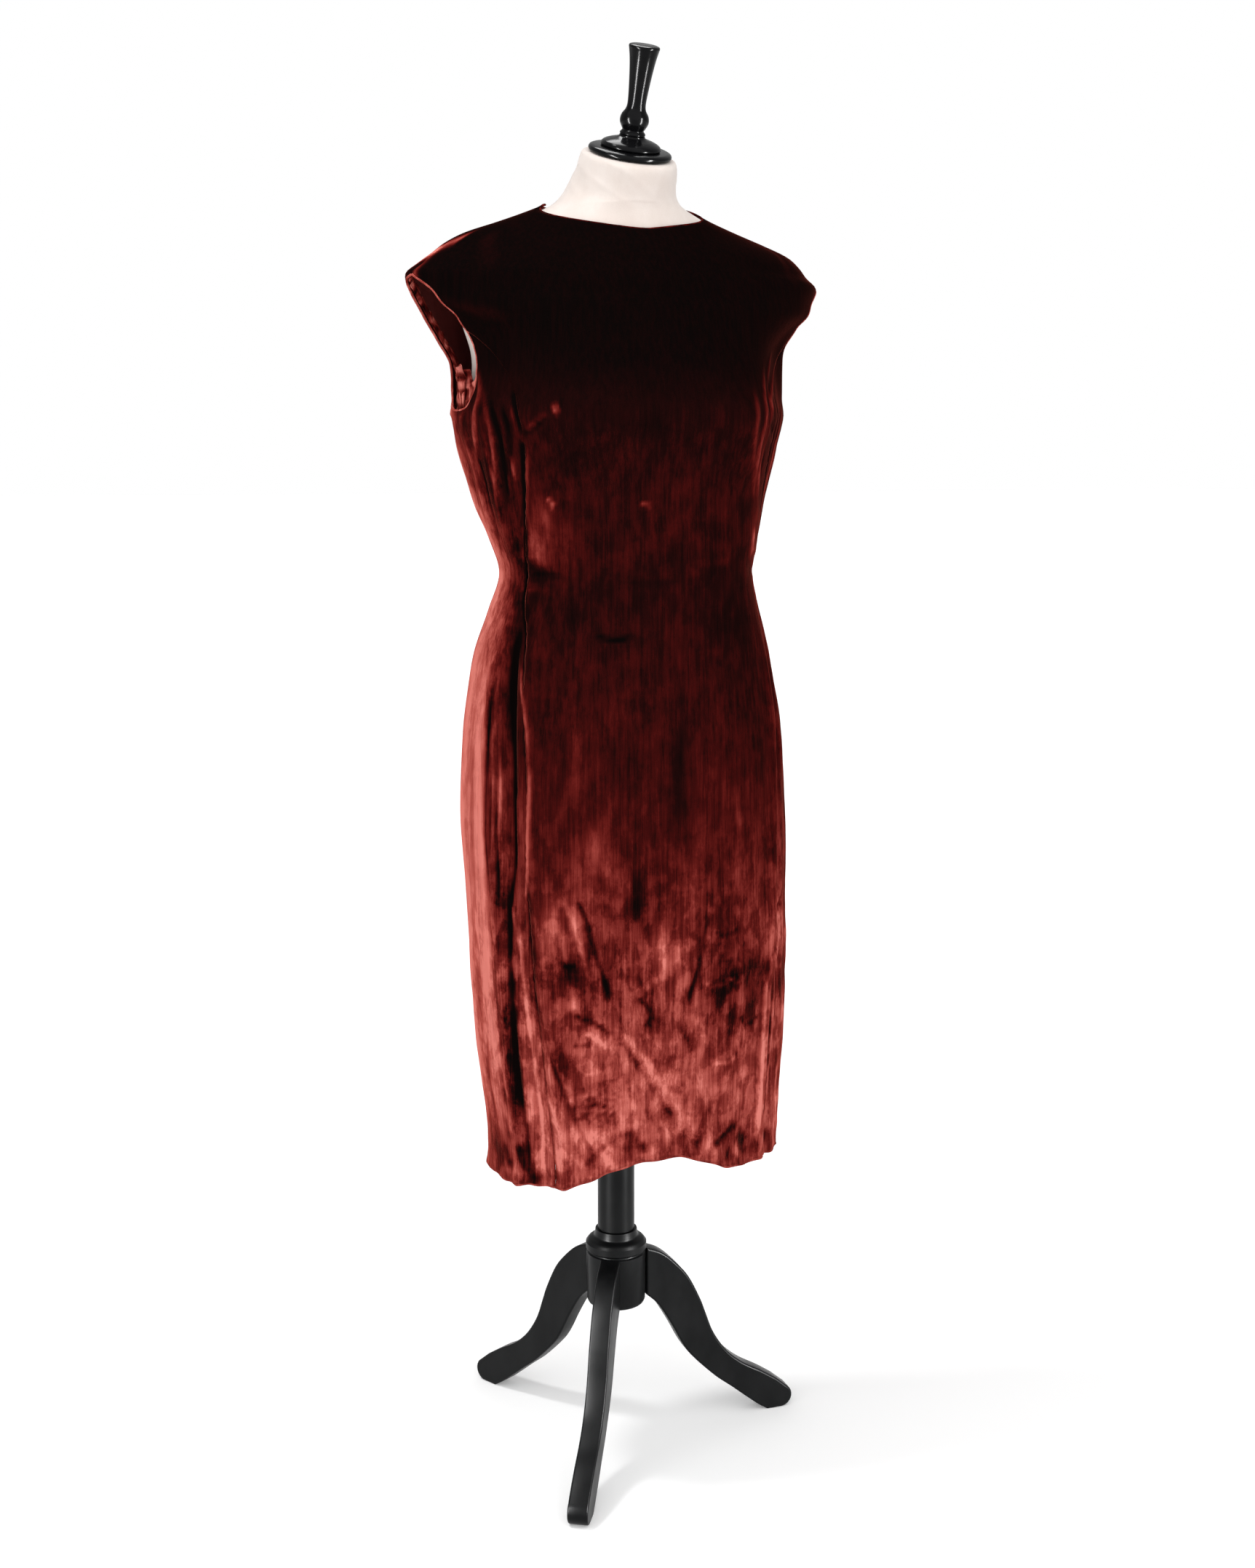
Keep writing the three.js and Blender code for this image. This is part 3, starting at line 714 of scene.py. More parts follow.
@dataclass(frozen=True)
class SatinPaint:
    """Black satin paint on the stand, with faint brush marks and a fine grain."""

    dark: Colour = (0.0028, 0.0030, 0.0033)
    light: Colour = (0.0056, 0.0060, 0.0064)
    smoothest: float = 0.28
    roughest: float = 0.42

    def make(self) -> bpy.types.Material:
        """Build the paint's material."""
        finish = Finish("black_satin_paint")
        speck = finish.noise((900, 900, 900), 2)
        cloud = finish.noise((26, 26, 14), 4)
        mix = finish.blend(speck, cloud, 0.3)
        finish.colour(mix, [(0.35, self.dark), (0.65, self.light)])
        rough = finish.add("ShaderNodeMapRange", {"From Min": 0.3, "From Max": 0.7, "To Min": self.smoothest,
                                                  "To Max": self.roughest})
        finish.join(cloud, rough.inputs["Value"])
        finish.join(rough.outputs["Result"], finish.shader.inputs["Roughness"])
        finish.bump(mix, 0.25, 0.0004)
        finish.set(Specular_IOR_Level=0.09)
        return finish.material


@dataclass(frozen=True)
class ZipMetal:
    """Dyed zip metal, rubbed lighter in places."""

    dyed: Colour = (0.16, 0.035, 0.028)
    rubbed: Colour = (0.42, 0.22, 0.18)

    def make(self) -> bpy.types.Material:
        """Build the metal's material."""
        finish = Finish("zip_metal")
        rub = finish.noise((700, 700, 500), 3)
        finish.colour(rub, [(0.45, self.dyed), (0.72, self.rubbed)])
        finish.bump(rub, 0.2, 0.0001)
        finish.set(Metallic=0.85, Roughness=0.36)
        return finish.material


@dataclass(frozen=True)
class FloorPaper:
    """Seamless pale paper under the stand."""

    paper: Colour = (0.93, 0.93, 0.93)
    hollow: Colour = (0.915, 0.915, 0.915)

    def make(self) -> bpy.types.Material:
        """Build the paper's material."""
        finish = Finish("floor_paper")
        tooth = finish.noise((400, 400, 400), 2)
        finish.colour(tooth, [(0.2, self.hollow), (0.8, self.paper)])
        finish.set(Roughness=0.9, Specular_IOR_Level=0.0)
        finish.set(Emission_Color=(1, 1, 1, 1), Emission_Strength=0.14)
        return finish.material


SECTIONS = rows_of(
    Section,
    (300, 164, 164, 138, 78, 2.3, 4), (370, 159, 159, 141, 75, 2.3, 5), (457, 167, 167, 144, 84, 2.25, 5),
    (555, 172, 172, 148, 90, 2.2, 3), (652, 175, 175, 148, 96, 2.15, 1), (724, 177, 177, 146, 103, 2.1, 0),
    (806, 172, 172, 144, 105, 2.1, 0), (841, 167, 167, 141, 104, 2.1, 0), (888, 158, 158, 139, 102, 2.1, 0),
    (934, 143, 143, 138, 89, 2.1, 0), (968, 134, 134, 138, 80, 2.1, 0), (1002, 142, 142, 137, 91, 2.1, 0),
    (1047, 155, 155, 135, 116, 2.1, 0), (1092, 167, 167, 139, 126, 2.1, 0),
    (1126, 174, 174, 144, 129, 2.1, 0), (1148, 170, 174, 141, 129, 2.05, 0),
    (1180, 169, 177, 133, 127, 2.0, 0), (1200, 176, 190, 127, 124, 1.95, 0),
    (1219, 196, 204, 121, 119, 1.9, 1), (1232, 214, 213, 117, 115, 1.85, 2),
    (1245, 221, 221, 111, 111, 1.8, 3), (1263, 228, 228, 105, 104, 1.7, 4),
    (1274, 216, 216, 99, 99, 1.65, 5), (1284, 205, 205, 94, 94, 1.6, 8), (1295, 191, 191, 86, 89, 1.55, 9),
    (1306, 166, 166, 78, 84, 1.5, 6), (1317, 132, 132, 73, 79, 1.55, 4), (1328, 99, 99, 70, 75, 1.7, 1),
    (1337, 77, 77, 69, 72, 2.0, 0), (1345, 69, 69, 68, 70, 2.0, 0),
)
SEAM_LINE = rows_of(
    Bearing,
    (300, 46), (440, 49), (630, 53), (760, 51), (888, 58.5), (964, 70), (1049, 57), (1105, 53), (1150, 57),
    (1180, 64), (1205, 72.6),
)
ARMHOLE_FRONT = rows_of(
    Bearing,
    (1133, 85), (1144, 80.5), (1160, 77.2), (1193, 75.3), (1212, 72.8), (1226, 70), (1244, 71.6),
    (1255, 75.5), (1263, 82),
)
ARMHOLE_BACK = rows_of(
    Bearing,
    (1133, 98), (1144, 103.5), (1160, 108), (1180, 110.5), (1200, 109.5), (1221, 107.5), (1241, 103),
    (1254, 95), (1263, 82),
)
SHOULDER_SEAM = rows_of(
    Bearing,
    (1263, 82), (1283, 84), (1306, 87), (1337, 90),
)
FOLDS = rows_of(
    Fold,
    (230, -38, 905, -55, 4.5, 9), (230, -51, 930, -64, -6, 11), (230, -66, 900, -74, 3.5, 10),
    (230, 49, 905, 63, -5, 11), (230, 37, 880, 52, 4, 10), (230, 66, 860, 76, 3, 11),
    (230, 20, 600, -24, -3.5, 13), (230, 30, 560, -12, 4, 13), (230, 42, 520, 20, -3, 13),
    (230, -158, 700, -152, 3.5, 13), (230, -134, 640, -146, -4, 13), (230, 150, 660, 158, 3.5, 13),
    (230, 126, 620, 138, -4, 13), (985, -77, 1115, -72, 3, 9), (985, 77, 1115, 72, 3, 9),
    (1160, 74, 1205, 74, 19, 24),
)

# Creases, listed by place on the dress
BODICE_CREASES = rows_of(
    Crease,
    (((-77.5, 1176), (-74.6, 1144), (-84.4, 1049)), 2.6, 3.6, 0.32),
    (((-74, 1162), (-67.7, 1105), (-75.3, 1020)), 2.2, 3.2, 0.30),
    (((-70, 1150), (-64, 1105), (-69, 1030)), -2.2, 3.4, -0.18),
    (((-57.7, 1143), (-54.3, 1112), (-53.2, 1092)), 1.6, 2.8, 0.34),
    (((-61.9, 1140), (-59, 1105), (-63, 1066)), -1.8, 3.2, -0.15),
    (((-60.4, 1090), (-60, 1060)), 1.1, 2.2, 0.3),
    (((-51.6, 1105), (-56.4, 1049), (-65, 1004)), 1.3, 2.6, 0.34),
    (((-53.5, 1105), (-47.7, 1115), (-42.9, 1124)), -1.5, 3.0, -0.12, 0.15),
    (((-52, 1109), (-47, 1119), (-42.6, 1127.5)), 0.9, 2.6, 0.2),
    (((-41.6, 1129), (-38.4, 1133)), -1.1, 4.6, 0.42),
    (((-47.5, 1046), (-45.8, 1041), (-44.6, 1036)), 0.8, 3.6, 0.42, 0.2),
    (((-11.5, 1042), (-9, 1039), (-6.5, 1038)), 0.6, 2.6, 0.34, 0.2),
    (((-74, 1301), (-82, 1291), (-89, 1280), (-92, 1266)), 0.0, 7.0, 0.85, 0.12),
    (((-84, 1284), (-80, 1268), (-80, 1240), (-78, 1205)), 0.0, 5.0, 0.42, 0.1),
    (((-57.6, 1152), (-53.9, 1105), (-57.7, 1049), (-64, 1005), (-70, 964), (-66.4, 930)),
     -1.3, 2.4, -0.34, 0.10),
    (((-63.5, 1120), (-64, 1080), (-68, 1030)), -1.0, 2.0, -0.22),
    (((-72.4, 1100), (-72, 1060), (-77, 1012)), 0.9, 2.0, 0.26),
    (((-80.5, 1104), (-79, 1060), (-84, 1004)), -1.2, 2.2, -0.26),
    (((-88, 1120), (-86, 1060), (-91, 1000)), 2.0, 4.4, 0.22),
    (((-95, 1126), (-92, 1074), (-98, 1014)), -2.2, 4.8, -0.2),
    (((-103, 1122), (-101, 1065), (-104, 1008)), 1.7, 4.2, 0.2),
    (((-84, 1131), (-90, 1120)), 1.4, 2.6, 0.25), (((-91, 1130), (-98, 1116)), 1.5, 2.8, 0.25),
    (((-102, 1141), (-108, 1124)), 1.5, 3.0, 0.2),
    (((36.9, 1164), (33.4, 1106), (46.4, 1033)), 1.4, 3.6, 0.22),
    (((48.3, 1187), (39.2, 1113), (42, 1052)), 1.9, 3.2, 0.3),
    (((52, 1180), (43.5, 1113), (46.5, 1046)), -2.0, 3.4, -0.15),
    (((69.2, 1190), (46.8, 1136), (43.8, 1077), (50.2, 1033)), 2.2, 3.4, 0.34),
    (((58.8, 1196), (48.6, 1158), (46, 1120)), 1.7, 3.0, 0.25),
    (((64, 1150), (59, 1100), (63, 1040)), -2.3, 4.5, -0.2),
    (((71, 1128), (68, 1060), (76, 1002)), 1.9, 4.0, 0.25),
    (((84, 1124), (81, 1070), (85, 1010)), -1.9, 4.4, -0.15),
    (((92, 1124), (90, 1060), (96, 1006)), 1.8, 4.6, 0.2), (((84, 1131), (91, 1119)), 1.4, 2.8, 0.2),
    (((93, 1133), (99, 1118)), 1.4, 2.8, 0.2),
    (((53.5, 1105), (47.7, 1115), (42.9, 1124)), -1.4, 3.0, -0.1, 0.15),
    (((42.8, 1124), (39.4, 1121)), -1.0, 5.5, 0.2),
    (((67.5, 1310), (59.6, 1286), (49.5, 1259)), -1.1, 5.5, 0.05),
    (((-66, 1308), (-58, 1288), (-47, 1262)), -0.9, 6.0, 0.04),
    (((-74, 1240), (-60, 1226), (-46, 1218)), 0.8, 6.0, 0.05),
    (((50, 1016), (51, 1004), (54, 988)), 1.2, 3.6, 0.30, 0.2),
    (((-70, 975), (-56, 971), (-43, 968)), -1.3, 3.8, -0.12),
    (((-80, 991), (-66, 989), (-55, 983)), 1.1, 3.4, 0.16),
    (((-76, 955), (-63, 957), (-50, 952)), 0.9, 3.6, 0.12),
    (((48, 972), (60, 969), (74, 973)), -1.3, 4.0, -0.12),
    (((44, 988), (57, 991), (70, 988)), 1.0, 3.4, 0.15),
    (((-24, 966), (-8, 962), (6, 966)), -0.6, 4.4, -0.05),
    (((8, 984), (22, 981), (34, 986)), 0.6, 4.0, 0.06),
)
SKIRT_CREASES = rows_of(
    Crease,
    (((-61.1, 888), (-53, 829), (-51.1, 786), (-50, 764), (-51.2, 691), (-55.4, 630)), 2.6, 2.6, 0.46, 0.12),
    (((-66.3, 925), (-62.6, 850), (-58.6, 785), (-57.6, 745)), -3.6, 3.8, -0.48, 0.12),
    (((-58.2, 775), (-58.5, 700), (-62.5, 640), (-64, 570)), -2.6, 2.3, -0.44, 0.15),
    (((-63.5, 590), (-64, 520), (-63.5, 450), (-61.4, 356)), -3.8, 4.6, -0.50, 0.10),
    (((-62.7, 648), (-58.6, 592), (-57, 519), (-53.8, 423), (-55, 367)), 2.6, 2.6, 0.36, 0.10),
    (((-70.5, 880), (-69, 800), (-68, 720), (-70, 640)), 0.8, 1.8, 0.24),
    (((-66.5, 824), (-65, 744), (-66, 666)), 0.8, 1.6, 0.26),
    (((-72.4, 872), (-71.4, 762), (-72.5, 650)), -1.0, 1.8, -0.34, 0.15),
    (((-67.8, 786), (-66.6, 704), (-68.6, 616)), -0.8, 1.5, -0.28),
    (((-76, 898), (-75, 855), (-74, 819), (-78, 613), (-75.6, 519), (-71, 444), (-72.6, 375)),
     2.2, 4.6, 0.10, 0.08),
    (((-34.4, 652), (-31, 634), (-27.9, 603), (-24.8, 572), (-21.8, 538)), -1.8, 2.8, -0.34, 0.12),
    (((-39.6, 655), (-35.4, 631), (-32, 598), (-29, 560)), 1.7, 3.2, 0.26, 0.15),
    (((-45, 640), (-40, 588), (-36, 560)), -1.0, 3.0, -0.14),
    (((-43, 590), (-38, 581), (-34, 582)), -1.0, 3.6, -0.30, 0.15),
    (((-36.5, 530), (-27.2, 520), (-21.4, 506)), -1.6, 3.0, -0.36, 0.12),
    (((-37, 499), (-33, 497), (-28, 503)), -1.2, 2.6, -0.28, 0.15),
    (((-34, 513), (-28, 507), (-23, 494)), 1.3, 2.4, 0.26, 0.15),
    (((-17, 566), (-11.5, 556), (-8, 558)), 1.2, 3.0, 0.18, 0.2),
    (((-7.6, 574), (-4.6, 552), (-2.2, 533)), 1.1, 3.0, 0.16, 0.3),
    (((-13, 548), (-8, 530), (-10, 512)), -1.3, 2.6, -0.28, 0.15),
    (((-24.5, 531), (-11.4, 485), (0, 426), (7, 383)), 1.9, 3.8, 0.18, 0.15),
    (((-17.6, 497), (-8, 452), (0.8, 407)), -1.5, 2.6, -0.24, 0.15),
    (((-1, 522), (4, 486), (2, 452)), -1.0, 2.8, -0.22),
    (((-40, 428), (-30, 434), (-20, 430)), -0.9, 1.8, -0.26, 0.15),
    (((-39, 417), (-29, 425), (-19, 422)), -0.9, 1.8, -0.24, 0.15),
    (((-42, 438), (-30, 444), (-19, 442)), 0.8, 1.8, 0.18, 0.15),
    (((-38, 451), (-27, 456), (-18, 462)), -0.9, 2.0, -0.20),
    (((-34, 466), (-26, 471), (-19, 475)), 0.8, 2.2, 0.14),
    (((-48.6, 505), (-43, 462), (-38.5, 427), (-28.5, 370)), -1.6, 2.8, -0.26, 0.12),
    (((-52, 462), (-45, 420), (-38, 368)), 1.3, 3.4, 0.16),
    (((-33, 410), (-24, 392), (-19, 372)), 1.2, 3.0, 0.20),
    (((-12, 436), (-5, 404), (-3, 378)), -1.1, 2.4, -0.20),
    (((11.3, 625), (6.8, 572), (3, 533)), -1.3, 2.4, -0.28, 0.12),
    (((13, 608), (18, 600), (24, 606)), -0.8, 2.6, -0.16, 0.2),
    (((8, 556), (14, 548), (20, 552), (25, 546)), 0.8, 2.0, 0.24, 0.1),
    (((24, 512), (29, 500), (36, 506)), -1.0, 2.2, -0.26, 0.12),
    (((10, 470), (18, 462), (24, 468)), 0.8, 2.0, 0.22, 0.12),
    (((62.3, 627), (42.6, 555), (39.1, 501), (38.3, 421), (37.8, 357)), 2.6, 2.8, 0.36, 0.12),
    (((66, 640), (47, 560), (43.5, 500), (42.7, 420), (42, 357)), -3.0, 2.8, -0.34, 0.1),
    (((30, 610), (24, 528), (27, 436), (22, 372)), 1.2, 5.0, 0.16),
    (((4, 620), (1, 560), (8, 500), (5, 452)), 1.0, 4.6, 0.12),
    (((54, 720), (51, 640), (57, 560)), -1.5, 5.0, -0.12),
    (((32, 400), (21, 388), (12, 372)), -1.3, 3.4, -0.25),
    (((-20, 400), (-28, 384), (-34, 366)), -1.1, 3.6, -0.2),
    (((26, 470), (17, 440), (13, 408)), 1.1, 4.0, 0.12),
    (((-8, 700), (-12, 640), (-6, 590)), -0.8, 5.0, -0.14),
    (((-20, 760), (-24, 700), (-19, 650)), 0.9, 5.5, 0.1),
    (((20, 780), (26, 700), (20, 640)), 0.8, 6.0, 0.08),
    (((-36, 860), (-33, 790), (-38, 720)), 0.8, 6.0, 0.1),
    (((6, 860), (2, 780), (6, 700)), -0.6, 7.0, -0.08),
    (((-30, 912), (-22, 908), (-13, 911)), -0.6, 2.4, -0.2),
    (((70, 880), (66, 800), (72, 720)), 1.8, 5.5, 0.12),
    (((80, 700), (76, 600), (82, 480), (77, 380)), -2.0, 5.5, -0.2),
    (((92, 760), (89, 640), (95, 500), (90, 390)), 1.8, 6.0, 0.16),
    (((-88, 840), (-84, 740), (-90, 620)), -1.2, 5.5, -0.12),
    (((-98, 780), (-95, 650), (-101, 500), (-96, 380)), 1.6, 6.0, 0.16),
    (((-84, 520), (-88, 450), (-83, 380)), -1.4, 4.6, -0.14),
)
BACK_CREASES = rows_of(
    Crease,
    (((-152, 1085), (-150, 975), (-154, 862)), -1.5, 3.2, -0.1, 0.2),
    (((152, 1085), (150, 975), (154, 862)), -1.5, 3.2, -0.1, 0.2),
    (((-118, 1150), (-128, 1100), (-124, 1030)), 1.5, 5.0, 0.16),
    (((-132, 1190), (-140, 1130), (-137, 1070)), -1.2, 6.0, -0.12),
    (((121, 1160), (131, 1104), (126, 1040)), 1.6, 5.0, 0.16),
    (((136, 1196), (143, 1120), (139, 1060)), -1.1, 6.0, -0.12),
    (((-172, 985), (-160, 979), (-146, 984)), 1.7, 4.2, 0.16),
    (((-168, 962), (-155, 958), (-138, 966)), -1.6, 4.2, -0.14),
    (((-176, 1006), (-163, 1001), (-152, 1009)), -1.2, 4.0, -0.1),
    (((174, 978), (161, 972), (143, 979)), 1.6, 4.2, 0.16),
    (((170, 955), (156, 951), (141, 959)), -1.4, 4.0, -0.14),
    (((176, 1000), (166, 996), (155, 1003)), 1.1, 3.8, 0.1),
    (((-120, 890), (-128, 780), (-121, 660)), 1.3, 6.5, 0.12),
    (((-140, 700), (-133, 580), (-139, 440), (-134, 372)), 2.0, 5.5, 0.2, 0.12),
    (((-166, 660), (-170, 540), (-163, 430)), -1.8, 5.5, -0.2),
    (((-112, 640), (-116, 520), (-110, 400)), -1.8, 5.5, -0.2),
    (((118, 880), (126, 770), (119, 650)), 1.2, 6.5, 0.12),
    (((143, 720), (136, 600), (142, 460), (137, 380)), 1.9, 5.5, 0.2, 0.12),
    (((167, 640), (172, 520), (165, 410)), -1.7, 5.5, -0.2),
    (((111, 660), (116, 540), (109, 420)), -1.8, 5.5, -0.2),
    (((-150, 520), (-158, 480), (-166, 450)), 1.3, 4.0, 0.16),
    (((-156, 540), (-148, 500), (-143, 462)), -1.3, 3.6, -0.24),
    (((150, 500), (158, 470), (165, 436)), 1.2, 4.0, 0.16),
    (((157, 520), (149, 486), (145, 448)), -1.2, 3.6, -0.22),
    (((-128, 430), (-142, 420), (-154, 424)), -1.0, 3.0, -0.16),
    (((130, 446), (144, 436), (156, 441)), -1.0, 3.0, -0.16),
)

# Painted sheen by height down the front, darker up the chest, and painted sheen and shade patches that
# depart from it
SHEEN_LEVELS = rows_of(
    Bearing,
    (343, 0.60), (372, 0.62), (400, 0.69), (455, 0.66), (485, 0.67), (512, 0.57), (545, 0.47), (600, 0.50),
    (635, 0.42), (690, 0.35), (740, 0.29), (790, 0.255), (880, 0.22), (955, 0.18), (1000, 0.21),
    (1060, 0.20), (1110, 0.17), (1150, 0.12), (1180, 0.085), (1340, 0.08),
)
STRIP_EDGE = rows_of(
    Bearing,
    (343, -71.5), (384, -72.5), (440, -74.8), (572, -74.5), (641, -73), (709, -70), (760, -70.4),
    (818, -73.4), (868, -80), (910, -88),
)
# Painted sheen added down the side strip, by height
STRIP_SHEEN = rows_of(
    Bearing,
    (343, -0.06), (430, -0.02), (520, 0.02), (600, 0.08), (700, 0.12), (860, 0.13), (930, 0),
)
STROKES = rows_of(
    Stroke,
    (-66, 470, 8, 90, -0.22), (-67, 640, 6, 70, -0.05), (-92, 880, 20, 60, 0.10), (22, 500, 34, 70, -0.12),
    (-30, 372, 24, 22, 0.10), (-100, 1000, 40, 120, 0.55), (-100, 700, 38, 300, 0.42),
    (-82, 700, 14, 300, 0.22), (-78, 800, 17, 140, 0.36), (-92, 800, 22, 150, 0.22),
    (-75, 712, 9, 60, 0.22), (-79, 545, 15, 110, 0.18), (-86, 376, 40, 30, -0.30),
    (-80, 955, 12, 14, -0.16), (-65, 742, 9, 50, 0.26), (-54, 722, 7, 42, 0.26), (-65, 690, 11, 320, -0.06),
    (-59, 998, 15, 19, 0.32), (-50, 1024, 8, 14, 0.24), (-62, 1040, 14, 40, 0.08),
    (-46, 1000, 22, 40, 0.10), (0, 1035, 22, 30, 0.03), (-60, 1110, 26, 50, 0.06), (-43, 616, 13, 25, 0.36),
    (-32, 642, 12, 36, 0.20), (-27, 692, 8, 22, 0.26), (-36, 541, 7, 9, 0.25), (-42, 484, 13, 24, -0.26),
    (-48, 555, 14, 22, -0.06), (-17, 484, 20, 18, 0.14), (-10, 438, 16, 26, 0.12), (-33, 399, 26, 11, 0.24),
    (-46, 380, 12, 26, 0.12), (0, 738, 9, 58, -0.10), (-5, 590, 13, 24, 0.15), (20, 578, 22, 58, -0.15),
    (30, 528, 8, 26, -0.14), (24, 432, 20, 40, -0.08), (56, 704, 15, 90, 0.26), (57, 582, 12, 38, 0.40),
    (45, 446, 15, 40, 0.22), (39, 604, 7, 50, -0.10), (52, 800, 8, 36, 0.22), (51, 1004, 8, 22, 0.22),
    (62, 928, 9, 62, 0.22), (63, 1078, 7, 60, 0.36), (34, 900, 24, 70, -0.05), (-74.5, 393, 7, 7, -0.34),
    (-66, 380, 8, 7, -0.30), (-75, 361, 7, 5, -0.36), (-58, 350, 9, 6, -0.40), (-16.4, 401, 6, 5, -0.32),
    (-10.2, 387, 5, 5, -0.30), (14, 379, 7, 5, -0.32), (22, 385, 12, 12, -0.28), (30, 375, 8, 7, -0.36),
    (-104, 1165, 18, 60, 0.45), (104, 1165, 18, 60, 0.30), (96, 1010, 34, 120, 0.35),
    (100, 640, 40, 260, 0.30), (-150, 1040, 60, 60, 0.14), (150, 1040, 60, 60, 0.14),
    (-100, 1285, 24, 40, 0.40), (100, 1285, 24, 40, 0.30), (84, 820, 14, 160, 0.22),
    (-140, 600, 24, 46, 0.22), (140, 590, 26, 50, 0.20), (-165, 480, 20, 26, 0.16),
    (160, 690, 16, 60, 0.14), (-122, 820, 18, 90, -0.08), (120, 800, 20, 90, -0.06),
)


@dataclass
class DressCut:
    """The dress's surface: its outline, folds, creases and edges, and the painted sheen and shade of its
    colour.
    """

    hem: float = 343
    hem_lift: float = 28
    hem_lift_angle: float = -6
    hem_lift_right: float = 24
    hem_lift_left: float = 21
    hem_blend: float = 200
    hem_wave: float = 1.1
    hem_wave_blend: float = 40
    hem_ripples: tuple[float, float] = (11, 29)
    underarm: float = 1133
    seam_top: float = 1205
    cap_tip: float = 1263
    neck_point: float = 1337
    neck_drop: float = 28.5
    neck_centre: float = -5
    neck_rounding: float = 9
    neck_reach: float = 77
    neck_curve: float = 1.12
    neck_back_rise: float = 3
    neck_blend: float = 1215
    bust_height: float = 1116
    bust_side: float = 86
    bust_swell: float = 9
    bust_spread_side: float = 34
    bust_spread_up: float = 46
    fold_ends: float = 60
    flat_radius: float = 150
    seam_dip: float = 1.3
    seam_width: float = 3.0
    seam_pucker: float = 0.45
    seam_shadow: float = 0.22
    seam_shadow_width: float = 2.0
    seam_hidden: tuple[float, float] = (1095, 1130)
    seam_shadow_ends: tuple[float, float] = (1085, 1115)
    highlight_shade_gain: float = 1.2
    strip_back: tuple[float, float] = (-126, -102)
    strip_top: tuple[float, float] = (890, 930)
    crush_calm: float = 0.17
    crush_low: float = 0.62
    crush_low_ends: tuple[float, float] = (540, 760)
    crush_waist: float = 0.10
    waist: float = 1000
    crush_sides: float = 0.26
    crush_top: tuple[float, float] = (1090, 1170)
    soft_cells: tuple[float, float, float] = (34, 34, 60)
    fine_cells: tuple[float, float, float] = (11, 11, 20)
    pleat_cells: tuple[float, float, float] = (13, 13, 30)
    soft_lift: float = 1.6
    fine_lift: float = 0.6
    hem_fine_lift: float = 0.8
    hem_pleat_lift: float = 1.5
    hem_turn: float = 17
    hem_turn_spread: float = 13
    creases: list[Crease] = field(default_factory=lambda: [*BODICE_CREASES, *SKIRT_CREASES, *BACK_CREASES])

    def row_at(self, angle: np.ndarray, level: np.ndarray) -> np.ndarray:
        """Give the height of a row, which follows the hem below and the neckline above.

        Args:
            angle: degrees from the centre front.
            level: the row's level.

        Returns:
            Heights, shaped as the angles.
        """
        spread = np.where(angle < self.hem_lift_angle, self.hem_lift_right, self.hem_lift_left)
        away = (angle - self.hem_lift_angle) / spread
        lift = self.hem_lift * np.exp(-away * away) * np.clip(1 - (level - self.hem) / self.hem_blend, 0, 1)
        slow, quick = self.hem_ripples
        ripple = np.sin(np.radians(slow * angle)) + 0.7 * np.sin(np.radians(quick * angle) + 1)
        lift = lift + self.hem_wave * ripple * np.clip(1 - (level - self.hem) / self.hem_wave_blend, 0, 1)
        top = np.clip((level - self.neck_blend) / (self.neck_point - self.neck_blend), 0, 1)
        aside = np.hypot(angle - self.neck_centre, self.neck_rounding) - self.neck_rounding
        drop = self.neck_drop * (1 - np.minimum(aside / self.neck_reach, 1) ** self.neck_curve)
        neck = np.where(np.abs(angle) <= 90, -drop, -self.neck_back_rise * np.cos(np.radians(angle)))
        return level + lift + neck * top

    def front_end(self, level: np.ndarray) -> np.ndarray:
        """Half angle of the front panel: seam, armhole edge, then shoulder seam."""
        seam = track(SEAM_LINE, "angle", level)
        upper = np.where(level <= self.cap_tip, track(ARMHOLE_FRONT, "angle", level),
                         track(SHOULDER_SEAM, "angle", level))
        return np.where(level <= self.seam_top, seam, upper)

    def back_end(self, level: np.ndarray) -> np.ndarray:
        """Angle of the back panel's outer edge: armhole, then shoulder seam."""
        return np.where(level <= self.cap_tip, track(ARMHOLE_BACK, "angle", level),
                        track(SHOULDER_SEAM, "angle", level))

    def plain_skin(self, angle: np.ndarray, z: np.ndarray) -> np.ndarray:
        """Place points on the dress without its small creases.

        Args:
            angle: degrees from the centre front.
            z: heights.

        Returns:
            Millimetre points with a last axis of x, y and z.
        """
        columns = ("front_half", "back_half", "front", "back", "power", "drift")
        point = section_points(angle, z, *(track(SECTIONS, column, z) for column in columns))
        radius = np.hypot(point[..., 0], point[..., 1])
        lift = np.zeros_like(radius)
        for fold in FOLDS:
            along = np.clip((z - fold.low) / (fold.high - fold.low), 0, 1)
            centre = fold.low_angle + (fold.high_angle - fold.low_angle) * along
            away = np.radians(angle - centre) * radius / fold.width
            fade = smoothstep(fold.low - self.fold_ends, fold.low + self.fold_ends, z)
            fade = fade * (1 - smoothstep(fold.high - self.fold_ends, fold.high + self.fold_ends, z))
            lift += fold.out * fade * np.exp(-away * away)
        up = (z - self.bust_height) / self.bust_spread_up
        side = (np.abs(point[..., 0]) - self.bust_side) / self.bust_spread_side
        bust = np.where(point[..., 1] <= 0, self.bust_swell * np.exp(-up * up - side * side), 0)
        outward = point[..., :2] / radius[..., None]
        point[..., :2] += outward * lift[..., None]
        point[..., 1] -= bust
        return point

